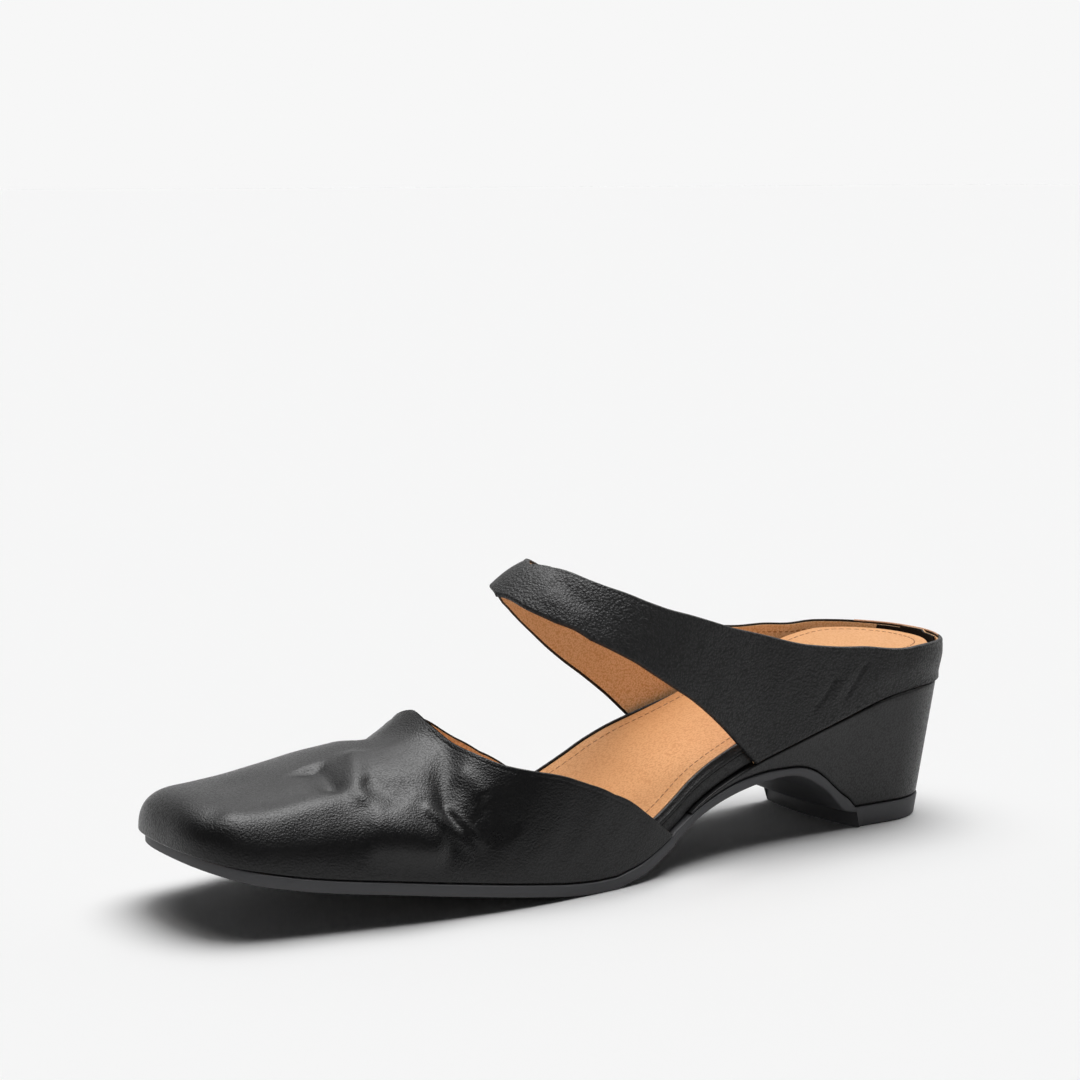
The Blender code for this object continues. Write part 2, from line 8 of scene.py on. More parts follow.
import bmesh
import bpy
import numpy as np
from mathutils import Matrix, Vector


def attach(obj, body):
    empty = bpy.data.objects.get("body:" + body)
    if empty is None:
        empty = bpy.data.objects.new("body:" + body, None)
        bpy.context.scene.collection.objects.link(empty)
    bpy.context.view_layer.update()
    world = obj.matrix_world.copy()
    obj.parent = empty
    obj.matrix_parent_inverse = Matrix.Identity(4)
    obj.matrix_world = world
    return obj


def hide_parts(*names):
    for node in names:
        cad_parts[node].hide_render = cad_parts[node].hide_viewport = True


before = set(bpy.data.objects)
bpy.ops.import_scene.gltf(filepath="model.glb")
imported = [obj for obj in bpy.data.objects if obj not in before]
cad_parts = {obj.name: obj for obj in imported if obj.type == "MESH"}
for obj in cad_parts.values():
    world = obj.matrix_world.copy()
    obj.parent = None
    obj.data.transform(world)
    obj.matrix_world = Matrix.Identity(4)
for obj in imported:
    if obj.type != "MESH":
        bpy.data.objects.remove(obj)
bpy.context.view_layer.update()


# Camera: the photograph's place, three quarters from the front on the outer side, a little above.
CAMERA_PLACE = Vector((0.5250, 0.6003, 0.1920))
CAMERA_AIM = Vector((0.11385, -0.0017, 0.09015))
SENSOR = 36.0
LENS = 89.27

camera_data = bpy.data.cameras.new("camera")
camera_data.sensor_width = SENSOR
camera_data.lens = LENS
camera_data.clip_start = 0.01
camera = bpy.data.objects.new("camera", camera_data)
camera.location = CAMERA_PLACE
camera.rotation_mode = "QUATERNION"
camera.rotation_quaternion = (CAMERA_AIM - CAMERA_PLACE).to_track_quat("-Z", "Y")
bpy.context.scene.collection.objects.link(camera)
bpy.context.scene.camera = camera


# Studio: a pale floor that runs to the horizon, a broad soft light overhead and a softer fill from the
# front. Black leather mirrors a white backdrop behind it and a dark room on the camera's side.
BACKGROUND = "F7F7F7"
FLOOR_COLOUR = "F7F7F7"
FLOOR_SIZE = 40.0
KEY_FROM = Vector((-0.25, -0.10, 0.95))
KEY_STRENGTH = 1.60
KEY_ANGLE = math.radians(45)
FILL_FROM = Vector((0.45, 0.65, 0.60))
FILL_STRENGTH = 1.0
FILL_ANGLE = math.radians(70)
CEILING = (-0.15, -0.20, 0.97)
BEHIND = (-0.56, -0.82, 0.0)
MIRRORED = 2.3


def colour(code):
    """A linear colour with alpha from an sRGB hex code."""
    shares = [int(code[i:i + 2], 16) / 255 for i in (0, 2, 4)]
    return (*[s / 12.92 if s <= 0.04045 else ((s + 0.055) / 1.055) ** 2.4 for s in shares], 1.0)


def add(tree, kind, links=None, **settings):
    """A new node with its settings; links give its inputs a value or another node's output."""
    made = tree.nodes.new(kind)
    for name, value in settings.items():
        setattr(made, name, value)
    for name, value in (links or {}).items():
        if isinstance(value, bpy.types.NodeSocket):
            tree.links.new(value, made.inputs[name])
        else:
            made.inputs[name].default_value = value
    return made


def ramp(tree, value, stops):
    """A colour ramp over a value; stops are places with colours."""
    made = add(tree, "ShaderNodeValToRGB", {"Fac": value})
    points = made.color_ramp.elements
    while len(points) < len(stops):
        points.new(0.5)
    for point, (place, shade) in zip(points, stops):
        point.position = place
        point.color = shade
    return made.outputs["Color"]


def surface(name):
    """A new material, its node tree and its Principled shader."""
    made = bpy.data.materials.new(name)
    made.use_nodes = True
    return made, made.node_tree, made.node_tree.nodes["Principled BSDF"]


def sun(name, source, strength, angle):
    """A soft light from a direction."""
    data = bpy.data.lights.new(name, "SUN")
    data.energy = strength
    data.angle = angle
    made = bpy.data.objects.new(name, data)
    made.rotation_mode = "QUATERNION"
    made.rotation_quaternion = (-source).to_track_quat("-Z", "Y")
    bpy.context.scene.collection.objects.link(made)
    return made


world = bpy.data.worlds.new("studio")
bpy.context.scene.world = world
world.use_nodes = True
sky = world.node_tree
sky.nodes.clear()
towards = add(sky, "ShaderNodeTexCoord").outputs["Generated"]
height = add(sky, "ShaderNodeSeparateXYZ", {"Vector": towards}).outputs["Z"]
upward, rearward = (
    add(sky, "ShaderNodeVectorMath", {0: towards, 1: aim}, operation="DOT_PRODUCT").outputs["Value"]
    for aim in (CEILING, BEHIND)
)


def step(value, start, end, low, high):
    """A smooth change of a value's output from low to high between two of its values."""
    return add(sky, "ShaderNodeMapRange", {"Value": value, "From Min": start, "From Max": end, "To Min": low,
                                           "To Max": high}, interpolation_type="SMOOTHSTEP").outputs["Result"]


def combined(operation, first, second):
    """The sum or the product of two values."""
    return add(sky, "ShaderNodeMath", {0: first, 1: second}, operation=operation).outputs["Value"]


softbox = step(upward, 0.78, 0.95, 0.02, 2.0)
sweep = combined("MULTIPLY", step(rearward, 0.15, 0.6, 0, 0.34), step(height, 0.66, 0.42, 0, 1))
rays = add(sky, "ShaderNodeLightPath").outputs
gain = add(sky, "ShaderNodeMapRange", {"Value": rays["Is Glossy Ray"], "To Min": 1.0, "To Max": MIRRORED})
light = combined("MULTIPLY", combined("ADD", softbox, sweep), gain.outputs["Result"])
soft = add(sky, "ShaderNodeBackground", {"Color": colour(BACKGROUND), "Strength": light})
plain = add(sky, "ShaderNodeBackground", {"Color": colour(BACKGROUND), "Strength": 1.0})
both = add(sky, "ShaderNodeMixShader", {0: rays["Is Camera Ray"], 1: soft.outputs[0], 2: plain.outputs[0]})
add(sky, "ShaderNodeOutputWorld", {"Surface": both.outputs[0]})

sun("key", KEY_FROM, KEY_STRENGTH, KEY_ANGLE)
fill = sun("fill", FILL_FROM, FILL_STRENGTH, FILL_ANGLE)
fill.visible_glossy = False
shoe = bpy.data.collections.new("shoe")
bpy.context.scene.collection.children.link(shoe)
fill.light_linking.receiver_collection = shoe

floor_mesh = bpy.data.meshes.new("floor")
half = FLOOR_SIZE / 2
corners = [(-half, -half, 0), (half, -half, 0), (half, half, 0), (-half, half, 0)]
floor_mesh.from_pydata(corners, [], [(0, 1, 2, 3)])
floor = bpy.data.objects.new("floor", floor_mesh)
floor_finish, tree, shader = surface("pale_floor")
shader.inputs["Base Color"].default_value = colour(FLOOR_COLOUR)
shader.inputs["Roughness"].default_value = 0.9
shader.inputs["Specular IOR Level"].default_value = 0.0
floor_mesh.materials.append(floor_finish)
bpy.context.scene.collection.objects.link(floor)

bpy.context.scene.view_settings.view_transform = "Standard"


# Outsole: one rubber moulding, 3.2 mm thick under the forepart, a band up under the arch, and the
# heel's 6.2 mm top piece with its small front lip. Its edges are softened by half a millimetre.
FOOTBED_LENGTH = 0.2509
BALL_WIDTH = 0.0740
HEEL_ROUND = 0.0252
TOE_ROUND = 0.0132
HEEL_SQUARENESS = 2.1
TOE_SQUARENESS = 2.5
HEEL_SETBACK = 0.0227
HEEL_HEIGHT = 0.0410
TOE_SPRING = 0.0175
UPPER_WALL = 0.0018
OUTSOLE_THICKNESS = 0.0032
TOP_PIECE_THICKNESS = 0.0062
SEAT_GAP = 0.0003
WELT_MARGIN = 0.0004
COVER_SIDE_INSET = 0.0006
COVER_BACK_INSET = 0.0034
SIDE_TAPER = 0.0066
BACK_TAPER = 0.0060
BREAST_SETBACK = 0.0387
LIP_HEIGHT = 0.0044
LIP_BOW = 0.0024
LIP_BOW_PLACES = 3
ARCH_STATION = 0.454
WELT_STATION = 0.536
SOLE_CORNER = 0.0005
SOLE_COLUMNS = (150, 90, 60)
SOLE_ACROSS = 12
RUBBER = "3C3C3E"
RUBBER_DARK = "38383A"
RUBBER_SMOOTH = 0.52
RUBBER_ROUGH = 0.68

# The footbed's half widths as shares of BALL_WIDTH
PLAN = (
    # station, outer side, inner side
    (0.00, 0.335, 0.345),
    (0.10, 0.338, 0.345),
    (0.20, 0.325, 0.335),
    (0.30, 0.322, 0.322),
    (0.40, 0.365, 0.350),
    (0.50, 0.435, 0.405),
    (0.58, 0.464, 0.448),
    (0.66, 0.475, 0.485),
    (0.75, 0.455, 0.498),
    (0.84, 0.405, 0.470),
    (0.92, 0.350, 0.425),
    (1.00, 0.290, 0.370),
)

# The footbed's underside, as shares of the rise from the tread to HEEL_HEIGHT
SEAT_CURVE = (
    # station, rise
    (0.000, 1.00),
    (0.069, 1.00),
    (0.113, 0.97),
    (0.202, 0.815),
    (0.292, 0.645),
    (0.338, 0.56),
    (0.386, 0.46),
    (0.419, 0.365),
    (0.449, 0.25),
    (0.480, 0.14),
    (0.510, 0.055),
    (0.546, 0.00),
)

# The lift ahead of the tread, as shares of TOE_SPRING
SPRING_CURVE = (
    # station, lift
    (0.576, 0.00),
    (0.609, 0.04),
    (0.648, 0.12),
    (0.789, 0.42),
    (0.896, 0.64),
    (0.946, 0.79),
    (1.000, 1.00),
)

# The band under the arch: distances ahead of the lip as shares of its span, heights as shares of HEEL_HEIGHT
ARCH = (
    # place, lower distance, lower height, upper distance, upper height
    (1, 0.073, 0.139, 0.061, 0.220),
    (2, 0.120, 0.210, 0.108, 0.280),
    (3, 0.171, 0.298, 0.153, 0.346),
    (4, 0.236, 0.380, 0.205, 0.424),
    (5, 0.300, 0.441, 0.263, 0.488),
    (6, 0.359, 0.476, 0.316, 0.521),
    (7, 0.425, 0.485, 0.366, 0.534),
    (8, 0.520, 0.472, 0.470, 0.539),
    (9, 0.650, 0.438, 0.620, 0.517),
    (10, 0.757, 0.395, 0.757, 0.466),
    (11, 0.863, 0.330, 0.863, 0.400),
)
ARCH_COUNT = 12
LIP_TOP = 0.024

TREAD_HEIGHT = OUTSOLE_THICKNESS + SEAT_GAP
HEEL_TURN = HEEL_ROUND * math.pi / 2
TOE_TURN = TOE_ROUND * math.pi / 2
RUN = FOOTBED_LENGTH - HEEL_ROUND - TOE_ROUND + HEEL_TURN + TOE_TURN
OUTER, INNER = 1.0, -1.0
STEP = 1e-5
WELD = 5e-6
SHARP_ANGLE = math.radians(50)


def through(places, values, at):
    """A smooth curve through the values, whose slopes are harmonic means, so it never overshoots."""
    places, values = np.asarray(places, float), np.asarray(values, float)
    span = np.diff(places)
    rise = np.diff(values) / span
    slope = np.concatenate((rise[:1], np.zeros(len(rise) - 1), rise[-1:]))
    same = rise[:-1] * rise[1:] > 0
    total = np.where(same, rise[:-1] + rise[1:], 1.0)
    slope[1:-1] = np.where(same, 2 * rise[:-1] * rise[1:] / total, 0.0)
    at = np.clip(at, places[0], places[-1])
    row = np.clip(np.searchsorted(places, at, side="right") - 1, 0, len(span) - 1)
    t = (at - places[row]) / span[row]
    start = values[row] * (1 + 2 * t) * (1 - t) ** 2 + values[row + 1] * t * t * (3 - 2 * t)
    return start + span[row] * t * (1 - t) * (slope[row] * (1 - t) - slope[row + 1] * t)


def column(table, number, at):
    """The smooth curve through one column of a table whose first column says where."""
    rows = np.array(table)
    return through(rows[:, 0], rows[:, number], at)


def eased(value, start, end):
    """A smooth step from 0 at the start to 1 at the end."""
    share = np.clip((value - start) / (end - start), 0, 1)
    return share * share * (3 - 2 * share)


def rounded(turn, squareness):
    """Shares of depth and width on a superellipse's quarter, from its tip at a turn of 0."""
    deep, wide = np.cos(turn), np.sin(turn)
    size = (np.abs(deep) ** squareness + np.abs(wide) ** squareness) ** (1 / squareness)
    return deep / size, wide / size


def fold(run, side):
    """A run past either end comes back along the other side."""
    past = (run < 0) | (run > RUN)
    return np.where(run < 0, -run, np.where(run > RUN, 2 * RUN - run, run)), np.where(past, -side, side)


def distance(run):
    """Distance ahead of the footbed's back end, for a run along its edge from the heel."""
    heel = np.clip(run / HEEL_ROUND, 0, math.pi / 2)
    toe = np.clip((RUN - run) / TOE_ROUND, 0, math.pi / 2)
    behind = rounded(heel, HEEL_SQUARENESS)[0]
    front = rounded(toe, TOE_SQUARENESS)[0]
    return HEEL_ROUND * (1 - behind) + np.clip(run, HEEL_TURN, RUN - TOE_TURN) - HEEL_TURN + TOE_ROUND * front


def run_at(station):
    """The run whose distance is the given share of FOOTBED_LENGTH."""
    runs = np.linspace(0, RUN, 4001)
    return np.interp(np.asarray(station) * FOOTBED_LENGTH, distance(runs), runs)


def plan_point(run, side):
    """A point of the footbed's outline: its half width is BALL_WIDTH times the plan's share."""
    run, side = fold(run, side)
    ahead = distance(run)
    station = ahead / FOOTBED_LENGTH
    heel = rounded(np.clip(run / HEEL_ROUND, 0, math.pi / 2), HEEL_SQUARENESS)[1]
    toe = rounded(np.clip((RUN - run) / TOE_ROUND, 0, math.pi / 2), TOE_SQUARENESS)[1]
    share = np.where(side > 0, column(PLAN, 1, station), column(PLAN, 2, station))
    return ahead - HEEL_SETBACK, side * BALL_WIDTH * share * heel * toe


def plan_normal(run, side):
    """The outline's outward direction, square to the chord over a short run."""
    x0, y0 = plan_point(run - STEP, side)
    x1, y1 = plan_point(run + STEP, side)
    size = np.hypot(x1 - x0, y1 - y0)
    return -side * (y1 - y0) / size, side * (x1 - x0) / size


def plan_edge(run, side, out):
    """The outline moved outwards by a distance."""
    x, y = plan_point(run, side)
    ahead, aside = plan_normal(run, side)
    return x + ahead * out, y + aside * out


def seat_height(x):
    """The footbed's underside: level seat, slope through the arch, tread and toe spring."""
    station = (x + HEEL_SETBACK) / FOOTBED_LENGTH
    rise = column(SEAT_CURVE, 1, station) * (HEEL_HEIGHT - TREAD_HEIGHT)
    return TREAD_HEIGHT + rise + column(SPRING_CURVE, 1, station) * TOE_SPRING


def cover_out(run, side, z):
    """How far the heel's leather cover stands out from the footbed's edge: less with depth."""
    ahead, aside = plan_normal(run, side)
    depth = np.maximum(seat_height(plan_point(run, side)[0]) - z, 0) / HEEL_HEIGHT
    inset = COVER_SIDE_INSET * aside ** 2 + COVER_BACK_INSET * ahead ** 2
    return SEAT_GAP + UPPER_WALL - inset - depth * (SIDE_TAPER * aside ** 2 + BACK_TAPER * ahead ** 2)


def sole_out(run, side, z):
    """The outsole stands a margin proud of the cover, and of the vamp ahead of the arch."""
    welt = eased(distance(run) / FOOTBED_LENGTH, ARCH_STATION, WELT_STATION)
    return cover_out(run, side, z) + WELT_MARGIN + COVER_SIDE_INSET * welt


def sole_high(x):
    """The outsole's upper face ahead of the arch."""
    return seat_height(x) - SEAT_GAP


def sole_low(x):
    """The outsole's lower face ahead of the arch: its thickness is measured square to its slope."""
    slope = (seat_height(x + STEP) - seat_height(x - STEP)) / (2 * STEP)
    return np.maximum(sole_high(x) - OUTSOLE_THICKNESS * np.sqrt(1 + slope ** 2), 0.0)


ARCH_X = ARCH_STATION * FOOTBED_LENGTH - HEEL_SETBACK
LIP_X = BREAST_SETBACK - HEEL_SETBACK
ARCH_SPAN = ARCH_X - LIP_X
ARCH_ENDS = (
    (0, 0.0, LIP_HEIGHT, LIP_TOP * ARCH_SPAN, TOP_PIECE_THICKNESS),
    (ARCH_COUNT, ARCH_SPAN, sole_low(ARCH_X), ARCH_SPAN, sole_high(ARCH_X)),
)


def arch_profile(places):
    """The band's lower and upper lines in side view."""
    rows = [(place, low * ARCH_SPAN, low_z * HEEL_HEIGHT, high * ARCH_SPAN, high_z * HEEL_HEIGHT)
            for place, low, low_z, high, high_z in ARCH]
    rows = [ARCH_ENDS[0], *rows, ARCH_ENDS[1]]
    low_x, low_z, high_x, high_z = (column(rows, number, places) for number in (1, 2, 3, 4))
    return LIP_X + low_x, low_z, LIP_X + high_x, high_z


def edge_points(run, side, z, out_of):
    """Points of an edge at the given heights, and the level directions into it."""
    side = np.full(run.shape, side)
    x, y = plan_edge(run, side, out_of(run, side, z))
    ahead, aside = plan_normal(run, side)
    return np.stack((x, y, z + 0 * x), -1), np.stack((-ahead, -aside, 0 * x), -1)


def band_points(x, z, side):
    """Points of the band's edge at places along the shoe, and the level directions into it."""
    run = run_at((x + HEEL_SETBACK) / FOOTBED_LENGTH)
    point, into = edge_points(run, side, z, sole_out)
    point[:, 0] = x
    return point, into


def corner(edge, other, into, radius):
    """A rounded corner: radius (1 - sin a) into the edge and radius (1 - cos a) towards the other."""
    angle = np.linspace(0, math.pi / 2, 4)[:, None, None]
    up = (other - edge) / np.linalg.norm(other - edge, axis=-1, keepdims=True)
    return edge + into * radius * (1 - np.sin(angle)) + up * radius * (1 - np.cos(angle))


def slab(lows, highs, count):
    """Closed sections of a slab with rounded edges; lows and highs hold both sides' points and directions."""
    low = [corner(lows[n][0], highs[n][0], lows[n][1], SOLE_CORNER) for n in (0, 1)]
    high = [corner(highs[n][0], lows[n][0], highs[n][1], SOLE_CORNER) for n in (0, 1)]
    share = np.linspace(0, 1, count + 1)[1:-1, None, None]
    under = low[0][0] + (low[1][0] - low[0][0]) * share
    over = high[1][0] + (high[0][0] - high[1][0]) * share
    rows = (low[0][::-1], under, low[1], high[1][::-1], over, high[0], low[0][-1:])
    return np.swapaxes(np.concatenate(rows), 0, 1)


def body(name, grids, finish, slot, *nodes):
    """A closed body from grids of points: shared edges are merged, and open ends are filled."""
    points, faces, count = [], [], 0
    for grid in grids:
        rows, columns = grid.shape[:2]
        number = np.arange(rows * columns).reshape(rows, columns) + count
        quads = np.stack((number[:-1, :-1], number[1:, :-1], number[1:, 1:], number[:-1, 1:]), -1)
        faces.append(quads.reshape(-1, 4))
        points.append(grid.reshape(-1, 3))
        count += rows * columns
    mesh = bpy.data.meshes.new(name)
    mesh.from_pydata(np.concatenate(points).tolist(), [], np.concatenate(faces).tolist())
    whole = bmesh.new()
    whole.from_mesh(mesh)
    bmesh.ops.remove_doubles(whole, verts=whole.verts, dist=WELD)
    bmesh.ops.dissolve_degenerate(whole, edges=whole.edges, dist=WELD)
    bmesh.ops.holes_fill(whole, edges=whole.edges, sides=0)
    bmesh.ops.recalc_face_normals(whole, faces=whole.faces)
    whole.to_mesh(mesh)
    whole.free()
    mesh.shade_smooth()
    mesh.set_sharp_from_angle(angle=SHARP_ANGLE)
    mesh.materials.append(finish)
    made = bpy.data.objects.new(name, mesh)
    shoe.objects.link(made)
    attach(made, "root")
    if nodes:
        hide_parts(*nodes)
    return made


def between(back_station, front_station, count):
    """Runs between two stations, evenly spaced along the edge."""
    return np.linspace(run_at(back_station), run_at(front_station), count)


runs = between(1, ARCH_STATION, SOLE_COLUMNS[0])[:-1]
lows, highs = [], []
for side in (OUTER, INNER):
    seat = seat_height(plan_point(runs, np.full(runs.shape, side))[0])
    edge, into = edge_points(runs, side, seat, sole_out)
    low, high = edge.copy(), edge.copy()
    low[:, 2], high[:, 2] = sole_low(edge[:, 0]), sole_high(edge[:, 0])
    lows.append((low, into))
    highs.append((high, into))
forepart = slab(lows, highs, SOLE_ACROSS)

places = np.linspace(ARCH_COUNT, 0, SOLE_COLUMNS[1])
low_x, low_z, high_x, high_z = arch_profile(places)
lows = [band_points(low_x, low_z, side) for side in (OUTER, INNER)]
highs = [band_points(high_x, high_z, side) for side in (OUTER, INNER)]


def lengthened(rows, scale):
    """Both sides' points and directions with the last one repeated, its point scaled."""
    return [(np.concatenate((edge, edge[-1:] * scale)), np.concatenate((into, into[-1:])))
            for edge, into in rows]


lips, tops = lengthened(lows, (1, 1, 0)), lengthened(highs, (1, 1, 1))
band = slab(lips, tops, SOLE_ACROSS)
under_columns = SOLE_ACROSS + 7
fade = np.clip(1 - np.append(places, 0) / LIP_BOW_PLACES, 0, 1)[:, None]
under = band[:, :under_columns]
under[..., 0] += fade * LIP_BOW * (1 - (under[..., 1] / np.abs(under[..., 1]).max(1, keepdims=True)) ** 2)

runs = between(BREAST_SETBACK / FOOTBED_LENGTH, 0, SOLE_COLUMNS[2])[1:]
lows = [edge_points(runs, side, 0.0, sole_out) for side in (OUTER, INNER)]
highs = [edge_points(runs, side, TOP_PIECE_THICKNESS, sole_out) for side in (OUTER, INNER)]
top_piece = slab(lows, highs, SOLE_ACROSS)


def object_place(tree):
    """Places in the piece's own coordinates, in metres."""
    return add(tree, "ShaderNodeTexCoord").outputs["Object"]


def noise(tree, place, scale, detail):
    """A noise value over a place; the scale is in features a metre."""
    return add(tree, "ShaderNodeTexNoise", {"Vector": place, "Scale": scale, "Detail": detail}).outputs["Fac"]


def bumped(tree, height, depth, **inputs):
    """The direction of a surface that a height value, times a depth in metres, has raised."""
    return add(tree, "ShaderNodeBump", {"Height": height, "Distance": depth, **inputs}).outputs["Normal"]


rubber, tree, shader = surface("sole_rubber")
place = object_place(tree)
smear = noise(tree, place, 90.0, 4.0)
shade = ramp(tree, smear, ((0.3, colour(RUBBER_DARK)), (0.7, colour(RUBBER))))
tree.links.new(shade, shader.inputs["Base Color"])
dull = add(tree, "ShaderNodeMapRange", {"Value": smear, "To Min": RUBBER_SMOOTH, "To Max": RUBBER_ROUGH})
tree.links.new(dull.outputs["Result"], shader.inputs["Roughness"])
tree.links.new(bumped(tree, noise(tree, place, 1800.0, 3.0), 0.00004), shader.inputs["Normal"])
body("outsole_moulding", [np.concatenate((forepart, band, top_piece))], rubber, "outsole_rubber", "outsole")


# Heel block: a light block covered in smooth satin leather, which thins forwards into a tongue
# between the outsole's band and the footbed. The leather's edges are turned over at top and bottom.
WEDGE_STATION = 0.429
COVER_CORNER = 0.0007
COVER_COLUMNS = 190
COVER_LEVELS = 26
BLACK = "0D0D0E"
BLACK_WORN = "1C1B1B"


def leather(name, dark, light, valley_painted_shade, roughness, sheen, grain, grain_depth, crease_depth):
    """Leather: pebbles of a size in metres whose valleys are darkened by painted shade, finer pores, soft slack
    and uneven gloss.
    """
    made, tree, shader = surface(name)
    place = object_place(tree)
    drift = add(tree, "ShaderNodeTexNoise", {"Vector": place, "Scale": 0.6 / grain, "Detail": 1.0})
    reach = (grain * 0.7,) * 3
    moved = add(tree, "ShaderNodeVectorMath", {0: drift.outputs["Color"], 1: reach, 2: place},
                operation="MULTIPLY_ADD").outputs["Vector"]
    pebbles = add(tree, "ShaderNodeTexVoronoi", {"Vector": moved, "Scale": 1 / grain}).outputs["Distance"]
    broad = noise(tree, place, 28.0, 3.0)
    shade = ramp(tree, broad, ((0.32, colour(dark)), (0.72, colour(light))))
    # The pebbles' valleys are mixed towards the valley colour below. This is painted shade; the pebble tops
    # keep the leather's tone.
    low = add(tree, "ShaderNodeMapRange", {"Value": pebbles, "From Min": 0.35, "From Max": 0.75})
    low = low.outputs["Result"]
    mixed = add(tree, "ShaderNodeMix", {"Factor": low}, data_type="RGBA")
    tree.links.new(shade, mixed.inputs["A"])
    mixed.inputs["B"].default_value = colour(valley_painted_shade)
    tree.links.new(mixed.outputs["Result"], shader.inputs["Base Color"])
    uneven = add(tree, "ShaderNodeMath", {0: low, 1: broad}, operation="ADD").outputs["Value"]
    gloss = add(tree, "ShaderNodeMapRange", {"Value": uneven, "From Min": 0.3, "From Max": 1.6,
                                             "To Min": roughness - 0.06, "To Max": roughness + 0.16})
    tree.links.new(gloss.outputs["Result"], shader.inputs["Roughness"])
    shader.inputs["Specular IOR Level"].default_value = sheen
    loose = bumped(tree, noise(tree, place, 120.0, 1.0), crease_depth)
    pore = bumped(tree, noise(tree, place, 3 / grain, 2.0), grain_depth * 0.5, Normal=loose)
    pebble = add(tree, "ShaderNodeBump", {"Height": pebbles, "Distance": grain_depth, "Normal": pore},
                 invert=True)
    tree.links.new(pebble.outputs["Normal"], shader.inputs["Normal"])
    return made


def band_top(x):
    """The top of the outsole and its heel piece at a place along the shoe."""
    high_x, high_z = arch_profile(np.linspace(0, ARCH_COUNT, 221))[2:]
    return np.interp(x, high_x, high_z)


runs = between(WEDGE_STATION, 0, COVER_COLUMNS)
angle = np.linspace(0, math.pi / 2, 4)
edges = []
for side in (OUTER, INNER):
    side_of = np.full(runs.shape, side)
    x = plan_point(runs, side_of)[0]
    top, bottom = seat_height(x) - SEAT_GAP, band_top(x) + SEAT_GAP
    radius = np.minimum(COVER_CORNER, (top - bottom) / 3)
    turned = radius * (1 - np.cos(angle))[:, None] / (top - bottom)
    inset = radius * (1 - np.sin(angle))[:, None]
    middle = np.linspace(0, 1, COVER_LEVELS)[1:-1, None]
    shares = np.concatenate((turned, turned[-1] + (1 - 2 * turned[-1]) * middle, 1 - turned[::-1]))
    insets = np.concatenate((inset, 0 * middle + 0 * x, inset[::-1]))
    rows = []
    for share, back_in in zip(shares, insets):
        z = top + (bottom - top) * share
        x_at, y_at = plan_edge(runs, side_of, cover_out(runs, side_of, z) - back_in)
        high, low = seat_height(x_at) - SEAT_GAP, band_top(x_at) + SEAT_GAP
        rows.append(np.stack((x_at, y_at, high + (low - high) * share), -1))
    edges.append(np.stack(rows, 1))
share = np.linspace(0, 1, 9)[None, :, None]
over = edges[1][:, :1] + (edges[0][:, :1] - edges[1][:, :1]) * share
over[..., 2] = seat_height(over[..., 0]) - SEAT_GAP
under = edges[0][:, -1:] + (edges[1][:, -1:] - edges[0][:, -1:]) * share
under[..., 2] = band_top(under[..., 0]) + SEAT_GAP
wedge = np.concatenate((over, edges[0][:, 1:-1], under, edges[1][:, ::-1]), 1)
cover = leather("heel_leather", BLACK, "141415", "080808", 0.40, 0.42, 0.0006, 0.00006, 0.00004)
body("heel_cover", [wedge], cover, "heel_cover_leather", "heel_wedge")


# Footbed: an insole board wrapped in thin black leather. The wrap is folded over the top edge, and the fold
# shows as a line along the side. A narrow black bead stands round the sock as painted shadow along its edge.
FOOTBED_THICKNESS = 0.0068
FOOTBED_TOE_THICKNESS = 0.0040
ARCH_CANT = 0.0014
CANT_START, CANT_FULL, CANT_FADE, CANT_END = 0.12, 0.34, 0.44, 0.62
THIN_START, THIN_END = 0.70, 0.95
TOE_SHELF = 0.0175
HEEL_SHELF = 0.0242
INSTEP_DEPTH = 0.0800
TOE_BOX_DEPTH = 0.0107
WRAP_AND_SHADOW_BEAD_LEVELS = (
    # share of the thickness, inset
    (0.00, 0.0008), (0.03, 0.0004), (0.08, 0.0001), (0.15, 0.0),
    (0.72, 0.0), (0.75, 0.00003), (0.77, 0.00015), (0.79, 0.00003), (0.82, 0.0),
    (0.92, 0.00005), (0.97, 0.00022), (1.00, 0.0005),
    # The last rows rise above the top as a black bead round the sock: painted shadow along the sock's edge.
    (1.18, 0.0009), (1.24, 0.0011), (1.26, 0.0014), (1.24, 0.0017), (1.18, 0.0018), (1.00, 0.0018),
)

# The ridge along the top of the last
RIDGE = (
    # station, depth between TOE_BOX_DEPTH and INSTEP_DEPTH, shift to the outer side, squareness
    (0.000, 0.72, 0.000, 2.3),
    (0.196, 0.95, 0.000, 2.3),
    (0.399, 1.05, -0.005, 2.2),
    (0.490, 1.05, -0.010, 2.1),
    (0.557, 0.985, -0.020, 2.1),
    (0.601, 0.865, -0.030, 2.0),
    (0.700, 0.405, -0.035, 2.0),
    (0.744, 0.283, -0.035, 2.1),
    (0.808, 0.203, -0.045, 2.4),
    (0.883, 0.117, -0.045, 2.6),
    (0.939, 0.052, -0.045, 2.7),
    (1.000, 0.000, -0.045, 2.8),
)


def footbed_top(x, y):
    """The footbed's upper face: it thins towards the toe, and leans to the outer side at the arch."""
    station = (x + HEEL_SETBACK) / FOOTBED_LENGTH
    thinned = eased(station, THIN_START, THIN_END)
    cant = eased(station, CANT_START, CANT_FULL) * (1 - eased(station, CANT_FADE, CANT_END))
    depth = FOOTBED_THICKNESS + (FOOTBED_TOE_THICKNESS - FOOTBED_THICKNESS) * thinned
    return seat_height(x) + depth - ARCH_CANT * cant * y / (BALL_WIDTH / 2)


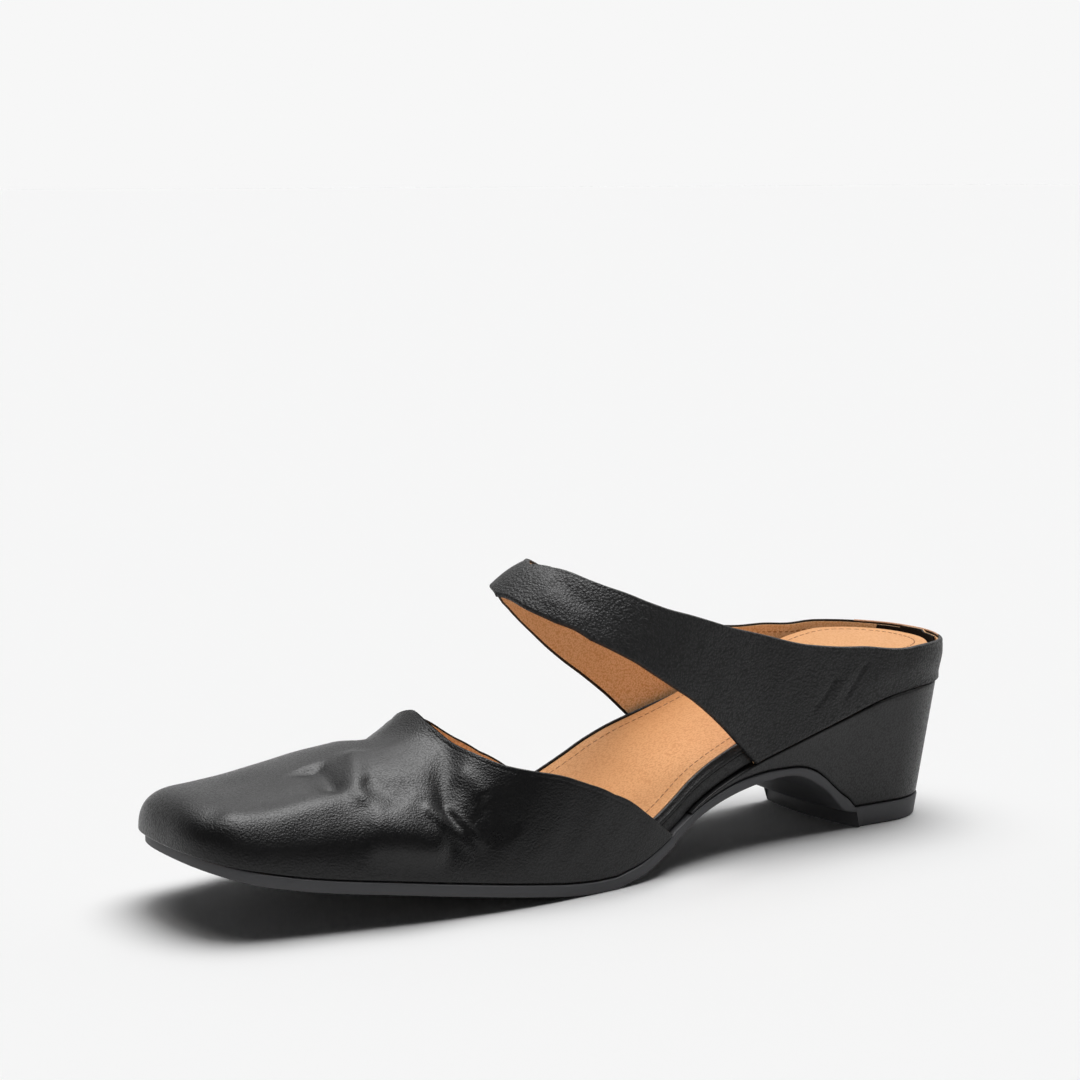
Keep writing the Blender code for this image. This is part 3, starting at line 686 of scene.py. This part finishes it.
def ridge_point(run):
    """The last's ridge over a run: it follows the edge and stops short of the heel and toe ends."""
    heel_span = HEEL_SHELF / (1 - 2 / math.pi)
    toe_span = TOE_SHELF / (1 - 2 / math.pi)
    behind = np.clip(1 - run / heel_span, 0, 1)
    front = np.clip(1 - (RUN - run) / toe_span, 0, 1)
    middle = np.clip(run, heel_span, RUN - toe_span)
    x = middle - heel_span * 2 / math.pi * np.sin(behind * math.pi / 2)
    x = x + toe_span * 2 / math.pi * np.sin(front * math.pi / 2)
    x = x - HEEL_TURN + HEEL_ROUND - HEEL_SETBACK
    station = (x + HEEL_SETBACK) / FOOTBED_LENGTH
    depth = TOE_BOX_DEPTH + column(RIDGE, 1, station) * (INSTEP_DEPTH - TOE_BOX_DEPTH)
    return x, BALL_WIDTH * column(RIDGE, 2, station), seat_height(x) + depth


def at_height(run, side, height, out):
    """A point beside the last's foot at a height over the feather edge, in by the last's own curve."""
    low_x = plan_point(run, side)[0]
    top_x, top_y, top_z = ridge_point(run)
    edge_x, edge_y = plan_edge(run, side, out)
    square = column(RIDGE, 3, distance(run) / FOOTBED_LENGTH)
    share = height / (top_z - seat_height(low_x))
    wide = (1 - share ** square) ** (1 / square)
    return top_x + (edge_x - top_x) * wide, top_y + (edge_y - top_y) * wide


def board(low_of, high_of, levels, runs, count):
    """Closed sections of a board: each level of its edge is a share of the thickness and an inset."""
    sides = []
    for side in (OUTER, INNER):
        side_of = np.full(runs.shape, side)
        plan = plan_point(runs, side_of)
        low, high = low_of(*plan), high_of(*plan)
        rows = []
        for share, inset in levels:
            z = low + (high - low) * share
            x, y = at_height(runs, side_of, np.maximum(z - seat_height(plan[0]), 0), -inset)
            rows.append(np.stack((x, y, low_of(x, y) + (high_of(x, y) - low_of(x, y)) * share), -1))
        sides.append(np.stack(rows, 1))
    outer, inner = sides
    share = np.linspace(0, 1, count + 1)[None, 1:-1, None]
    over = outer[:, -1:] + (inner[:, -1:] - outer[:, -1:]) * share
    over[..., 2] = high_of(over[..., 0], over[..., 1])
    under = inner[:, :1] + (outer[:, :1] - inner[:, :1]) * share
    under[..., 2] = low_of(under[..., 0], under[..., 1])
    return np.concatenate((outer, over, inner[:, ::-1], under, outer[:, :1]), 1)


wrap = leather("wrap_leather", BLACK, BLACK_WORN, "080808", 0.44, 0.42, 0.0006, 0.00008, 0.00005)
runs = between(0, 1, 220)
body("footbed_wrap", [board(lambda x, y: seat_height(x), footbed_top, WRAP_AND_SHADOW_BEAD_LEVELS, runs, 10)], wrap,
     "footbed_edge_leather", "footbed")


# Sock: 1.2 mm tan leather over the whole footbed, glued, and sewn round 4 mm inside its edge with
# brown thread. The seam lies in a shallow furrow, and the heel rests on a thin pad.
SOCK_THICKNESS = 0.0012
SOCK_INSET = 0.0020
SOCK_HEEL_INSET = 0.0006
SEAM_INSET = 0.0040
SEAM_END = 0.86
FURROW = (0.00016, 0.0006)
PAD_HEIGHT = 0.0021
PAD_ENDS = (0.030, 0.072)
STITCH_PITCH = 0.0023
STITCH_SIZE = (0.0017, 0.00050, 0.00026)
TAN = "E6AE7A"
TAN_DARK = "DCA26C"
# The next colour darkens the sock's grain valleys: painted shade.
TAN_VALLEY_SHADE = "D39864"
THREAD_BROWN = "A8703E"


def nearest(points, line):
    """For each point, the distance to the nearest point of a line, and that point's number."""
    flat = points.reshape(-1, points.shape[-1])
    squares = (flat ** 2).sum(1)[:, None] + (line ** 2).sum(1)[None] - 2 * flat @ line.T
    number = squares.argmin(1)
    gap = np.sqrt(np.maximum(squares[np.arange(len(flat)), number], 0))
    return gap.reshape(points.shape[:-1]), number.reshape(points.shape[:-1])


def stitches(name, line, up, finish, slot):
    """Stitches along a line of points: each is a half-sunk grain of thread, laid along the line."""
    steps = np.linalg.norm(np.diff(line, axis=0), axis=1)
    along = np.concatenate(([0], np.cumsum(steps)))
    middles = np.arange(STITCH_PITCH / 2, along[-1], STITCH_PITCH)

    def at(values, where):
        return np.stack([np.interp(where, along, values[:, n]) for n in range(3)], -1)

    centre, normal = at(line, middles), at(up, middles)
    ahead = at(line, middles + STITCH_PITCH / 4) - at(line, middles - STITCH_PITCH / 4)
    ahead /= np.linalg.norm(ahead, axis=1, keepdims=True)
    beside = np.cross(normal, ahead)
    length, width, height = STITCH_SIZE
    theta, phi = np.meshgrid(np.linspace(0, math.pi, 7), np.linspace(0, 2 * math.pi, 9))
    shape = np.stack((np.cos(theta), np.sin(theta) * np.cos(phi), np.sin(theta) * np.sin(phi)), -1)
    shape = np.sign(shape) * np.abs(shape) ** np.array((0.8, 1, 1)) * np.array((length, width, height)) / 2
    frames = np.stack((ahead, beside, normal), 1)
    points = centre[:, None, None] + np.einsum("ijk,nkl->nijl", shape, frames)
    return body(name, list(points), finish, slot)


def thread(name, code):
    """Sewing thread: a fine twist across each stitch, and little gloss."""
    made, tree, shader = surface(name)
    place = object_place(tree)
    twist = add(tree, "ShaderNodeTexWave", {"Vector": place, "Scale": 900.0, "Distortion": 1.5},
                bands_direction="DIAGONAL").outputs["Fac"]
    tree.links.new(bumped(tree, twist, 0.00008), shader.inputs["Normal"])
    red, green, blue, whole = colour(code)
    darker = (red * 0.75, green * 0.75, blue * 0.75, whole)
    shade = ramp(tree, noise(tree, place, 700.0, 2.0), ((0.3, darker), (0.7, colour(code))))
    tree.links.new(shade, shader.inputs["Base Color"])
    shader.inputs["Roughness"].default_value = 0.6
    return made


def sock_base(x, y):
    """The sock's underside, a clearance above the footbed."""
    return footbed_top(x, y) + SEAT_GAP


def sock_height(x, y):
    """The sock's upper face before its seam is pulled in, raised by the heel's pad."""
    return sock_base(x, y) + SOCK_THICKNESS + PAD_HEIGHT * (1 - eased(x, *PAD_ENDS))


def seam_line(side):
    """The seam's path on the sock along one side, from the heel's back to the toe."""
    runs = between(0, SEAM_END, 600)
    side_of = np.full(runs.shape, side)
    plan = plan_point(runs, side_of)
    inset = SOCK_INSET + SEAM_INSET + SOCK_HEEL_INSET * np.clip(1 - runs / HEEL_TURN, 0, 1)
    x, y = at_height(runs, side_of, sock_height(*plan) - seat_height(plan[0]), -inset)
    return np.stack((x, y, sock_height(x, y)), -1)


seam = np.concatenate((seam_line(OUTER)[::-1], seam_line(INNER)[1:]))


def sock_top(x, y):
    """The sock's upper face with the seam's furrow."""
    gap = nearest(np.stack((x, y), -1), seam[:, :2])[0]
    return sock_height(x, y) - FURROW[0] * np.exp(-(gap / FURROW[1]) ** 2)


tan = leather("sock_tan_leather", TAN_DARK, TAN, TAN_VALLEY_SHADE, 0.55, 0.30, 0.0006, 0.00004, 0.00008)
runs = between(0, 1, 260)
inset = SOCK_INSET + SOCK_HEEL_INSET * np.clip(1 - runs / HEEL_TURN, 0, 1)
levels = ((0.0, inset), (0.5, inset), (0.85, inset + 0.00008), (1.0, inset + 0.0005))
body("sock", [board(sock_base, sock_top, levels, runs, 90)], tan, "sock_leather", "insole_sock")
brown = thread("brown_thread", THREAD_BROWN)
sunk = seam - np.array((0, 0, FURROW[0] * 0.6))
stitches("sock_seam", sunk, np.tile((0.0, 0.0, 1.0), (len(seam), 1)), brown, "sock_leather")


# Vamp: 1.2 mm black leather over a tan lining, drawn tight over a square toe. Its edges are turned
# in, and sewn 1.5 mm inside the edge. Wear has left a deep fold across the toe and creases beside it.
LINING = 0.0006
LINING_BACK = 0.0007
TUCK_RISE = 0.0085
TUCK_ENDS = (-0.012, 0.036)
TURNED = 0.0006
FELL_INSET = 0.0015
TURN_FURROW = (0.00005, 0.0003)
SLACK = 0.00003
CREASE_RISE = (0.0015, 0.008)  # heights over the feather edge between which the creases fade in
BACK_LIMIT = 0.3
VAMP_COLUMNS = (130, 130)
VAMP_ROWS = {OUTER: 110, INNER: 70}
LINING_SHADE = "EAC49A"
LINING_DARK = "DFB284"
# The next colour darkens the lining's grain valleys: painted shade.
LINING_VALLEY_SHADE = "CD9C6A"

# The vamp's wings and throat, from the wing ends (0) to the peak over the instep (1)
THROAT = (
    # place, sole station, outer station, outer turn, inner station, inner turn
    (0.00, 0.463, 0.466, 0.010, 0.466, 0.010),
    (0.20, 0.508, 0.524, 0.142, 0.518, 0.126),
    (0.40, 0.568, 0.595, 0.246, 0.587, 0.246),
    (0.55, 0.622, 0.642, 0.334, 0.616, 0.318),
    (0.70, 0.670, 0.677, 0.462, 0.650, 0.415),
    (0.85, 0.712, 0.702, 0.680, 0.695, 0.600),
    (0.93, 0.732, 0.706, 0.840, 0.708, 0.790),
    (1.00, 0.748, 0.702, 1.000, 0.702, 1.000),
)

# Folds and creases, in metres; the lean says how many times wider they are on the toe's side
VAMP_CREASES = (
    # side, height, half widths at the start and end, lean, then stations and turns
    (OUTER, -0.0017, 0.0042, 0.0022, 1.5, ((0.842, 0.96), (0.839, 0.84), (0.845, 0.70), (0.850, 0.57))),
    (OUTER, 0.0011, 0.0034, 0.0024, 1.0,
     ((0.788, 0.99), (0.798, 0.85), (0.816, 0.69), (0.828, 0.55), (0.830, 0.45))),
    (OUTER, -0.0008, 0.0048, 0.0040, 1.0, ((0.815, 0.66), (0.800, 0.54), (0.788, 0.43))),
    (OUTER, 0.0015, 0.0070, 0.0056, 1.0, ((0.845, 0.35), (0.812, 0.28), (0.778, 0.22), (0.748, 0.19))),
    (OUTER, 0.0006, 0.0085, 0.0075, 1.0, ((0.765, 0.92), (0.770, 0.74), (0.780, 0.54))),
    (OUTER, -0.0015, 0.0052, 0.0018, 1.0,
     ((0.706, 0.86), (0.711, 0.68), (0.732, 0.52), (0.742, 0.39), (0.735, 0.23))),
    (OUTER, 0.0007, 0.0018, 0.0016, 1.0, ((0.772, 0.44), (0.761, 0.36), (0.748, 0.285), (0.722, 0.12))),
    (OUTER, 0.0006, 0.0015, 0.0015, 1.0, ((0.740, 0.42), (0.736, 0.35), (0.727, 0.26), (0.708, 0.13))),
    (OUTER, 0.0006, 0.0032, 0.0030, 1.0, ((0.716, 0.55), (0.705, 0.44), (0.699, 0.35))),
    (OUTER, -0.0007, 0.0046, 0.0040, 1.0, ((0.705, 0.36), (0.692, 0.27), (0.680, 0.16))),
    (OUTER, 0.0011, 0.0044, 0.0040, 1.0,
     ((0.990, 0.50), (0.965, 0.50), (0.92, 0.51), (0.875, 0.54), (0.82, 0.56))),
    (INNER, -0.0030, 0.0090, 0.0090, 1.0,
     ((0.775, 0.74), (0.745, 0.71), (0.715, 0.69), (0.690, 0.67), (0.660, 0.65))),
    (INNER, -0.0008, 0.0034, 0.0024, 1.0, ((0.800, 0.62), (0.775, 0.40), (0.745, 0.22))),
    (INNER, -0.0009, 0.0040, 0.0028, 1.0, ((0.735, 0.62), (0.720, 0.42), (0.700, 0.24))),
    (INNER, 0.0006, 0.0030, 0.0024, 1.0, ((0.765, 0.52), (0.745, 0.34), (0.722, 0.20))),
)


def last_point(run, side, turn, out=SEAT_GAP):
    """A point of the last: each rib is a superellipse's quarter from the feather edge to the ridge."""
    side = np.where(turn > 1, -side, side)
    turn = np.where(turn > 1, 2 - turn, turn)
    run, side = fold(run, side)
    edge_x, edge_y = plan_edge(run, side, out)
    top_x, top_y, top_z = ridge_point(run)
    low = seat_height(edge_x)
    square = column(RIDGE, 3, distance(run) / FOOTBED_LENGTH)
    wide, tall = rounded(turn * math.pi / 2, square)
    return np.stack((top_x + (edge_x - top_x) * wide, top_y + (edge_y - top_y) * wide,
                     low + (top_z - low) * tall), -1)


def outward(run, side, turn):
    """The direction square to the last's surface, away from it; along the ridge both sides share one."""
    turn_step = 1e-4

    def square_to(side):
        inside = np.clip(turn, turn_step, 1 - turn_step)
        along = last_point(run + STEP, side, inside) - last_point(run - STEP, side, inside)
        around = last_point(run, side, inside + turn_step) - last_point(run, side, inside - turn_step)
        normal = np.cross(around, along) * np.expand_dims(side, -1)
        return normal / np.linalg.norm(normal, axis=-1, keepdims=True)

    normal = square_to(side)
    ridge = normal + square_to(-side)
    ridge /= np.linalg.norm(ridge, axis=-1, keepdims=True)
    return np.where(np.expand_dims(turn, -1) < 1, normal, ridge)


def creased(points, creases):
    """How far creases raise each point: height exp(-(gap / half width)^2), faded at both ends."""
    raised = np.zeros(points.shape[:-1])
    for side, height, start, end, lean, stops in creases:
        place = np.linspace(0, 1, 120)
        knots = np.linspace(0, 1, len(stops))
        run = run_at(through(knots, [stop[0] for stop in stops], place))
        turn = through(knots, [stop[1] for stop in stops], place)
        line = last_point(run, np.full(run.shape, side), turn)
        gap, number = nearest(points, line)
        fade = eased(place, 0, 0.2) * (1 - eased(place, 0.75, 1))
        half = (start + (end - start) * place)[number]
        half = np.where(points[..., 0] > line[number, 0], half * lean, half)
        raised += height * fade[number] * np.exp(-(gap / half) ** 2)
    return raised


def slack(points):
    """Slow unevenness of drawn leather: a sum of three sines, less than a tenth of a millimetre deep."""
    x, y, z = points[..., 0], points[..., 1], points[..., 2]
    waves = np.sin(x * 310 + y * 190 + z * 140) + np.sin(x * -170 + y * 420 + z * 260 + 1.3)
    return SLACK * (waves + np.sin(x * 520 + y * -260 + z * 380 + 2.1))


def spread(low, high, rows):
    """Values from low to high, closer together at both ends: t - sin(2 pi t) / 9."""
    share = np.linspace(0, 1, rows + 1)[:, None]
    share = share - np.sin(2 * math.pi * share) / 9
    return low + (high - low) * share


def wall(edges, side, rows, creases, depths, turned, furrow, back_in=0.0, tuck=0.0):
    """The faces of a leather layer between two depths outside the last, with its edges rolled in.

    Within turned of an edge line, the outer face drops by turned - sqrt(turned^2 - (turned - gap)^2).
    back_in draws the edges back along the lines that join them, and tuck draws in the foot at the heel.
    """
    low_run, low_turn, high_run, high_turn, open_columns = edges
    sides = np.full(low_run.shape, side)
    lengths = last_point(high_run, sides, high_turn) - last_point(low_run, sides, low_turn)
    share = np.minimum(back_in / np.maximum(np.linalg.norm(lengths, axis=-1), 1e-6), BACK_LIMIT)
    upper = np.where(np.arange(len(share)) < open_columns * 0.97, share, 0)
    lower = np.where(low_turn > 0, share, 0)
    wide, tall = high_run - low_run, high_turn - low_turn
    runs = spread(low_run + wide * lower, high_run - wide * upper, rows)
    turns = spread(low_turn + tall * lower, high_turn - tall * upper, rows)
    sides = np.full(runs.shape, side)
    last = last_point(runs, sides, turns)
    normal = outward(runs, sides, turns)
    risen = last[..., 2] - seat_height(last[..., 0])
    raised = (creased(last, creases) + slack(last)) * eased(risen, *CREASE_RISE)
    face = last + normal * depths[1]
    high_gap = nearest(face, face[-1, :open_columns])[0]
    low_gap = nearest(face, face[0])[0]
    drop = np.maximum(turned - np.minimum(high_gap, low_gap), 0)
    rolled = turned - np.sqrt(turned ** 2 - drop ** 2)
    rolled = rolled + furrow[0] * np.exp(-((high_gap - FELL_INSET) / furrow[1]) ** 2)
    foot = (1 - eased(risen, 0, TUCK_RISE)) * (1 - eased(last[..., 0], *TUCK_ENDS))
    outer = last + normal * (depths[1] + raised - rolled - tuck * foot)[..., None]
    inner = last + normal * (depths[0] + raised)[..., None]
    for layer in (outer, inner):
        layer[..., 2] = np.where(turns == 0, seat_height(layer[..., 0]), layer[..., 2])
    return outer, inner, normal


def vamp_edges(side, columns):
    """The vamp's feather edge and upper edge on one side, as runs and turns."""
    number = 2 if side > 0 else 4
    throat = np.linspace(0, 1, columns[0])
    toe = np.linspace(1, 2, columns[1] + 1)[1:]
    start, crest = run_at(THROAT[-1][1]), run_at(THROAT[-1][number])
    low = np.concatenate((run_at(column(THROAT, 1, throat)), start + (toe - 1) * (RUN - start)))
    high = np.concatenate((run_at(column(THROAT, number, throat)), crest + (toe - 1) * (RUN - crest)))
    turn = np.concatenate((column(THROAT, number + 1, throat), np.ones(len(toe))))
    return low, 0 * low, high, turn, columns[0]


def vamp_layer(columns, rows, depths, turned, furrow, back_in=0.0):
    """Both sides' faces of one layer of the vamp, its rims, and its throat edge with normals."""
    grids, throat = [], []
    for side in (OUTER, INNER):
        edges = vamp_edges(side, columns)
        outer, inner, normal = wall(edges, side, rows[side], VAMP_CREASES, depths, turned, furrow, back_in)
        opening = edges[4]
        grids += [outer, inner, np.stack((outer[0], inner[0])), np.stack((outer[:, 0], inner[:, 0]))]
        grids.append(np.stack((outer[-1, :opening], inner[-1, :opening])))
        throat.append((outer[-1, :opening], normal[-1, :opening]))
    return grids, throat


def inset_line(line, normal, amount, lift):
    """A line moved within its surface by an amount, square to itself, and lifted off by a height."""
    ahead = np.gradient(line, axis=0)
    ahead /= np.linalg.norm(ahead, axis=1, keepdims=True)
    return line + np.cross(normal, ahead) * amount + normal * lift


calf = leather("vamp_calf_leather", BLACK, "131314", "050505", 0.33, 0.38, 0.00055, 0.00008, 0.00004)
grids, throat = vamp_layer(VAMP_COLUMNS, VAMP_ROWS, (LINING + 0.00005, UPPER_WALL), TURNED, TURN_FURROW)
body("vamp_leather", grids, calf, "vamp_leather", "vamp")
lining = leather("lining_leather", LINING_DARK, LINING_SHADE, LINING_VALLEY_SHADE, 0.58, 0.30, 0.0005, 0.00007,
                 0.00008)
lining_rows = {OUTER: 60, INNER: 60}
grids = vamp_layer((80, 80), lining_rows, (0.0, LINING), LINING / 2, (0.0, 1.0), LINING_BACK)[0]
body("vamp_lining", grids, lining, "sock_leather")


# Strap and quarter: one rear upper of pebbled black leather over a tan lining. The strap crosses the
# instep, widens into the quarter and runs round the heel. Its edges are turned and sewn.
REAR_COLUMNS = (110, 120)
REAR_ROWS = 70
STRAP_TURNED = 0.0009
HEEL_TUCK = 0.0013

# The rear upper's edges on the outer side, from the top of the strap (0) to its front corner (1)
OUTER_STRAP = (
    # place, front station, front turn, collar station, collar turn
    (0.00, 0.599, 1.000, 0.557, 1.000),
    (0.12, 0.594, 0.830, 0.545, 0.880),
    (0.25, 0.578, 0.681, 0.523, 0.725),
    (0.40, 0.544, 0.546, 0.476, 0.565),
    (0.55, 0.493, 0.409, 0.420, 0.423),
    (0.70, 0.440, 0.271, 0.363, 0.332),
    (0.85, 0.386, 0.140, 0.306, 0.271),
    (1.00, 0.326, 0.000, 0.248, 0.213),
)

# The same on the inner side, where the strap lies further back
INNER_STRAP = (
    # place, front station, front turn, collar station, collar turn
    (0.00, 0.599, 1.000, 0.557, 1.000),
    (0.12, 0.586, 0.850, 0.530, 0.800),
    (0.25, 0.562, 0.685, 0.487, 0.620),
    (0.40, 0.529, 0.540, 0.430, 0.465),
    (0.55, 0.484, 0.393, 0.372, 0.355),
    (0.70, 0.430, 0.240, 0.318, 0.287),
    (0.85, 0.376, 0.110, 0.272, 0.235),
    (1.00, 0.330, 0.000, 0.226, 0.188),
)

# The quarter's edges, from the strap's front corner (1) to the back of the heel (2)
OUTER_QUARTER = (
    # place, sole station, collar station, collar turn
    (1.00, 0.326, 0.248, 0.213),
    (1.30, 0.225, 0.172, 0.158),
    (1.60, 0.130, 0.095, 0.115),
    (2.00, 0.000, 0.000, 0.116),
)

INNER_QUARTER = (
    # place, sole station, collar station, collar turn
    (1.00, 0.330, 0.226, 0.188),
    (1.30, 0.230, 0.157, 0.144),
    (1.60, 0.130, 0.090, 0.115),
    (2.00, 0.000, 0.000, 0.116),
)

REAR_CREASES = (
    (OUTER, -0.00035, 0.0007, 0.0007, 1.0, ((0.160, 0.118), (0.172, 0.098), (0.186, 0.068), (0.203, 0.036))),
    (OUTER, -0.00028, 0.0007, 0.0008, 1.0, ((0.205, 0.118), (0.218, 0.092), (0.231, 0.072), (0.248, 0.050))),
    (OUTER, 0.0002, 0.0014, 0.0014, 1.0, ((0.183, 0.118), (0.200, 0.085), (0.218, 0.050))),
    (OUTER, -0.0003, 0.0028, 0.0022, 1.0, ((0.560, 0.82), (0.545, 0.70), (0.527, 0.595))),
    (OUTER, 0.0003, 0.0030, 0.0030, 1.0, ((0.575, 0.80), (0.560, 0.68), (0.540, 0.58))),
    (OUTER, -0.0002, 0.0040, 0.0030, 1.0, ((0.400, 0.34), (0.370, 0.26), (0.345, 0.18))),
    (INNER, -0.0004, 0.0018, 0.0014, 1.0, ((0.520, 0.62), (0.490, 0.50), (0.455, 0.40))),
    (INNER, -0.0004, 0.0012, 0.0012, 1.0, ((0.180, 0.10), (0.200, 0.07), (0.225, 0.04))),
)


def rear_edges(side, columns):
    """The rear upper's front and sole edge, and its collar, on one side, as runs and turns."""
    strap_edges, quarter_edges = (OUTER_STRAP, OUTER_QUARTER) if side > 0 else (INNER_STRAP, INNER_QUARTER)
    strap = np.linspace(0, 1, columns[0])
    quarter = np.linspace(1, 2, columns[1] + 1)[1:]
    sole_run = through([row[0] for row in quarter_edges], run_at([row[1] for row in quarter_edges]), quarter)
    low_run = np.concatenate((run_at(column(strap_edges, 1, strap)), sole_run))
    low_turn = np.concatenate((column(strap_edges, 2, strap), 0 * quarter))
    rows = [(row[0], row[3], row[4]) for row in strap_edges]
    rows += [(row[0], row[2], row[3]) for row in quarter_edges[1:]]
    place = np.concatenate((strap, quarter))
    high_run = through([row[0] for row in rows], run_at([row[1] for row in rows]), place)
    return low_run, low_turn, high_run, column(rows, 2, place), len(place)


def rear_layer(columns, rows, depths, turned, furrow, back_in=0.0, tuck=0.0):
    """Both sides' faces of one layer of the rear upper, its rims, and its collar with normals."""
    grids, collar = [], []
    for side in (OUTER, INNER):
        outer, inner, normal = wall(rear_edges(side, columns), side, rows, REAR_CREASES, depths, turned, furrow,
                                     back_in, tuck)
        grids += [outer, inner, np.stack((outer[0], inner[0])), np.stack((outer[-1], inner[-1]))]
        collar.append((outer, inner, normal))
    return grids, collar


pebbled = leather("quarter_pebbled_leather", BLACK, "1D1D1E", "060606", 0.46, 0.42, 0.00070, 0.00018, 0.00005)
grids, rear = rear_layer(REAR_COLUMNS, REAR_ROWS, (LINING + 0.00005, UPPER_WALL), STRAP_TURNED, TURN_FURROW,
                         tuck=HEEL_TUCK)
body("rear_upper_leather", grids, pebbled, "quarter_leather", "quarter_strap")
grids, rear_lining = rear_layer((90, 90), 40, (0.0, LINING), LINING / 2, (0.0, 1.0), LINING_BACK)
body("rear_upper_lining", grids, lining, "sock_leather")


# Heel grip: a piece of thin black leather glued over the lining at the back of the heel, so that the
# foot doesn't slip.
GRIP_COLUMNS = 13
GRIP_FACES = (0.00008, 0.0006)

grids = []
for _, back, normal in rear_lining:
    back, level = back[:, -GRIP_COLUMNS:], normal[:, -GRIP_COLUMNS:] * (1, 1, 0)
    near, far = (back - level * depth for depth in GRIP_FACES)
    rims = [np.stack((near[0], far[0])), np.stack((near[-1], far[-1])), np.stack((near[:, 0], far[:, 0]))]
    grids += [near, far, *rims]
grip = leather("grip_leather", "0D0D0E", "1C1B1B", "080808", 0.60, 0.30, 0.0004, 0.00005, 0.00004)
body("heel_grip", grids, grip, "sock_leather")


# Edge seams: fine black stitches along the turned edges of vamp, strap and collar, brown ones through
# the lining under the collar, and the pale raw edge that shows between the layers at the heel's back.
STITCH_SINK = 0.00006
COLLAR_SEAM = 0.0022
RAW_EDGE = "E4C4AE"
RAW_EDGE_DARK = "C79F84"
RAW_REACH = 0.03
RAW_SIZE = 0.0005
RAW_SIDE = 0.015
black = thread("black_thread", "101011")


def joined(first, second):
    """One line from the outer to the inner side, from two lines that start at the same point."""
    return np.concatenate((first[::-1], second[1:]))


outer_throat, inner_throat = throat
line = joined(outer_throat[0][::-1], inner_throat[0][::-1])
up = joined(outer_throat[1][::-1], inner_throat[1][::-1])
stitches("throat_seam", inset_line(line, up, FELL_INSET, -STITCH_SINK), up, black, "vamp_leather")
opening = REAR_COLUMNS[0]
(outer_face, _, outer_up), (inner_face, _, inner_up) = rear
line = joined(outer_face[0, :opening], inner_face[0, :opening])
up = joined(outer_up[0, :opening], inner_up[0, :opening])
stitches("strap_seam", inset_line(line, up, -FELL_INSET, -STITCH_SINK), up, black, "quarter_leather")
line = joined(outer_face[-1], inner_face[-1])
up = joined(outer_up[-1], inner_up[-1])
stitches("collar_seam", inset_line(line, up, FELL_INSET, -STITCH_SINK), up, black, "quarter_leather")
(_, outer_back, outer_up), (_, inner_back, inner_up) = rear_lining
line = joined(outer_back[-1], inner_back[-1])
up = -joined(outer_up[-1], inner_up[-1])
stitches("lining_seam", inset_line(line, up, -COLLAR_SEAM, -STITCH_SINK), up, brown, "sock_leather")


def cord_along(name, line, radius, finish, slot):
    """A thin round strip along a line: a ring of points about each of its points."""
    ahead = np.gradient(line, axis=0)
    ahead /= np.linalg.norm(ahead, axis=1, keepdims=True)
    beside = np.cross(ahead, (0.0, 0.0, 1.0))
    beside /= np.linalg.norm(beside, axis=1, keepdims=True)
    above = np.cross(beside, ahead)
    turn = np.linspace(0, 2 * math.pi, 9)[None, :, None]
    ring = line[:, None] + radius * (beside[:, None] * np.cos(turn) + above[:, None] * np.sin(turn))
    return body(name, [ring], finish, slot)


raw, tree, shader = surface("raw_leather_edge")
fibre = noise(tree, object_place(tree), 2500.0, 3.0)
shade = ramp(tree, fibre, ((0.3, colour(RAW_EDGE_DARK)), (0.7, colour(RAW_EDGE))))
tree.links.new(shade, shader.inputs["Base Color"])
shader.inputs["Roughness"].default_value = 0.8
tree.links.new(bumped(tree, fibre, 0.00006), shader.inputs["Normal"])
outer_rim, inner_rim = ((face[-1] + 2 * back[-1]) / 3 for face, back, _ in rear)
line = np.concatenate((inner_rim, outer_rim[-2::-1]))
line = line[(line[:, 0] < RAW_REACH * FOOTBED_LENGTH - HEEL_SETBACK) & (line[:, 1] < RAW_SIDE)]
cord_along("raw_edge", line, RAW_SIZE / 2, raw, "sock_leather")
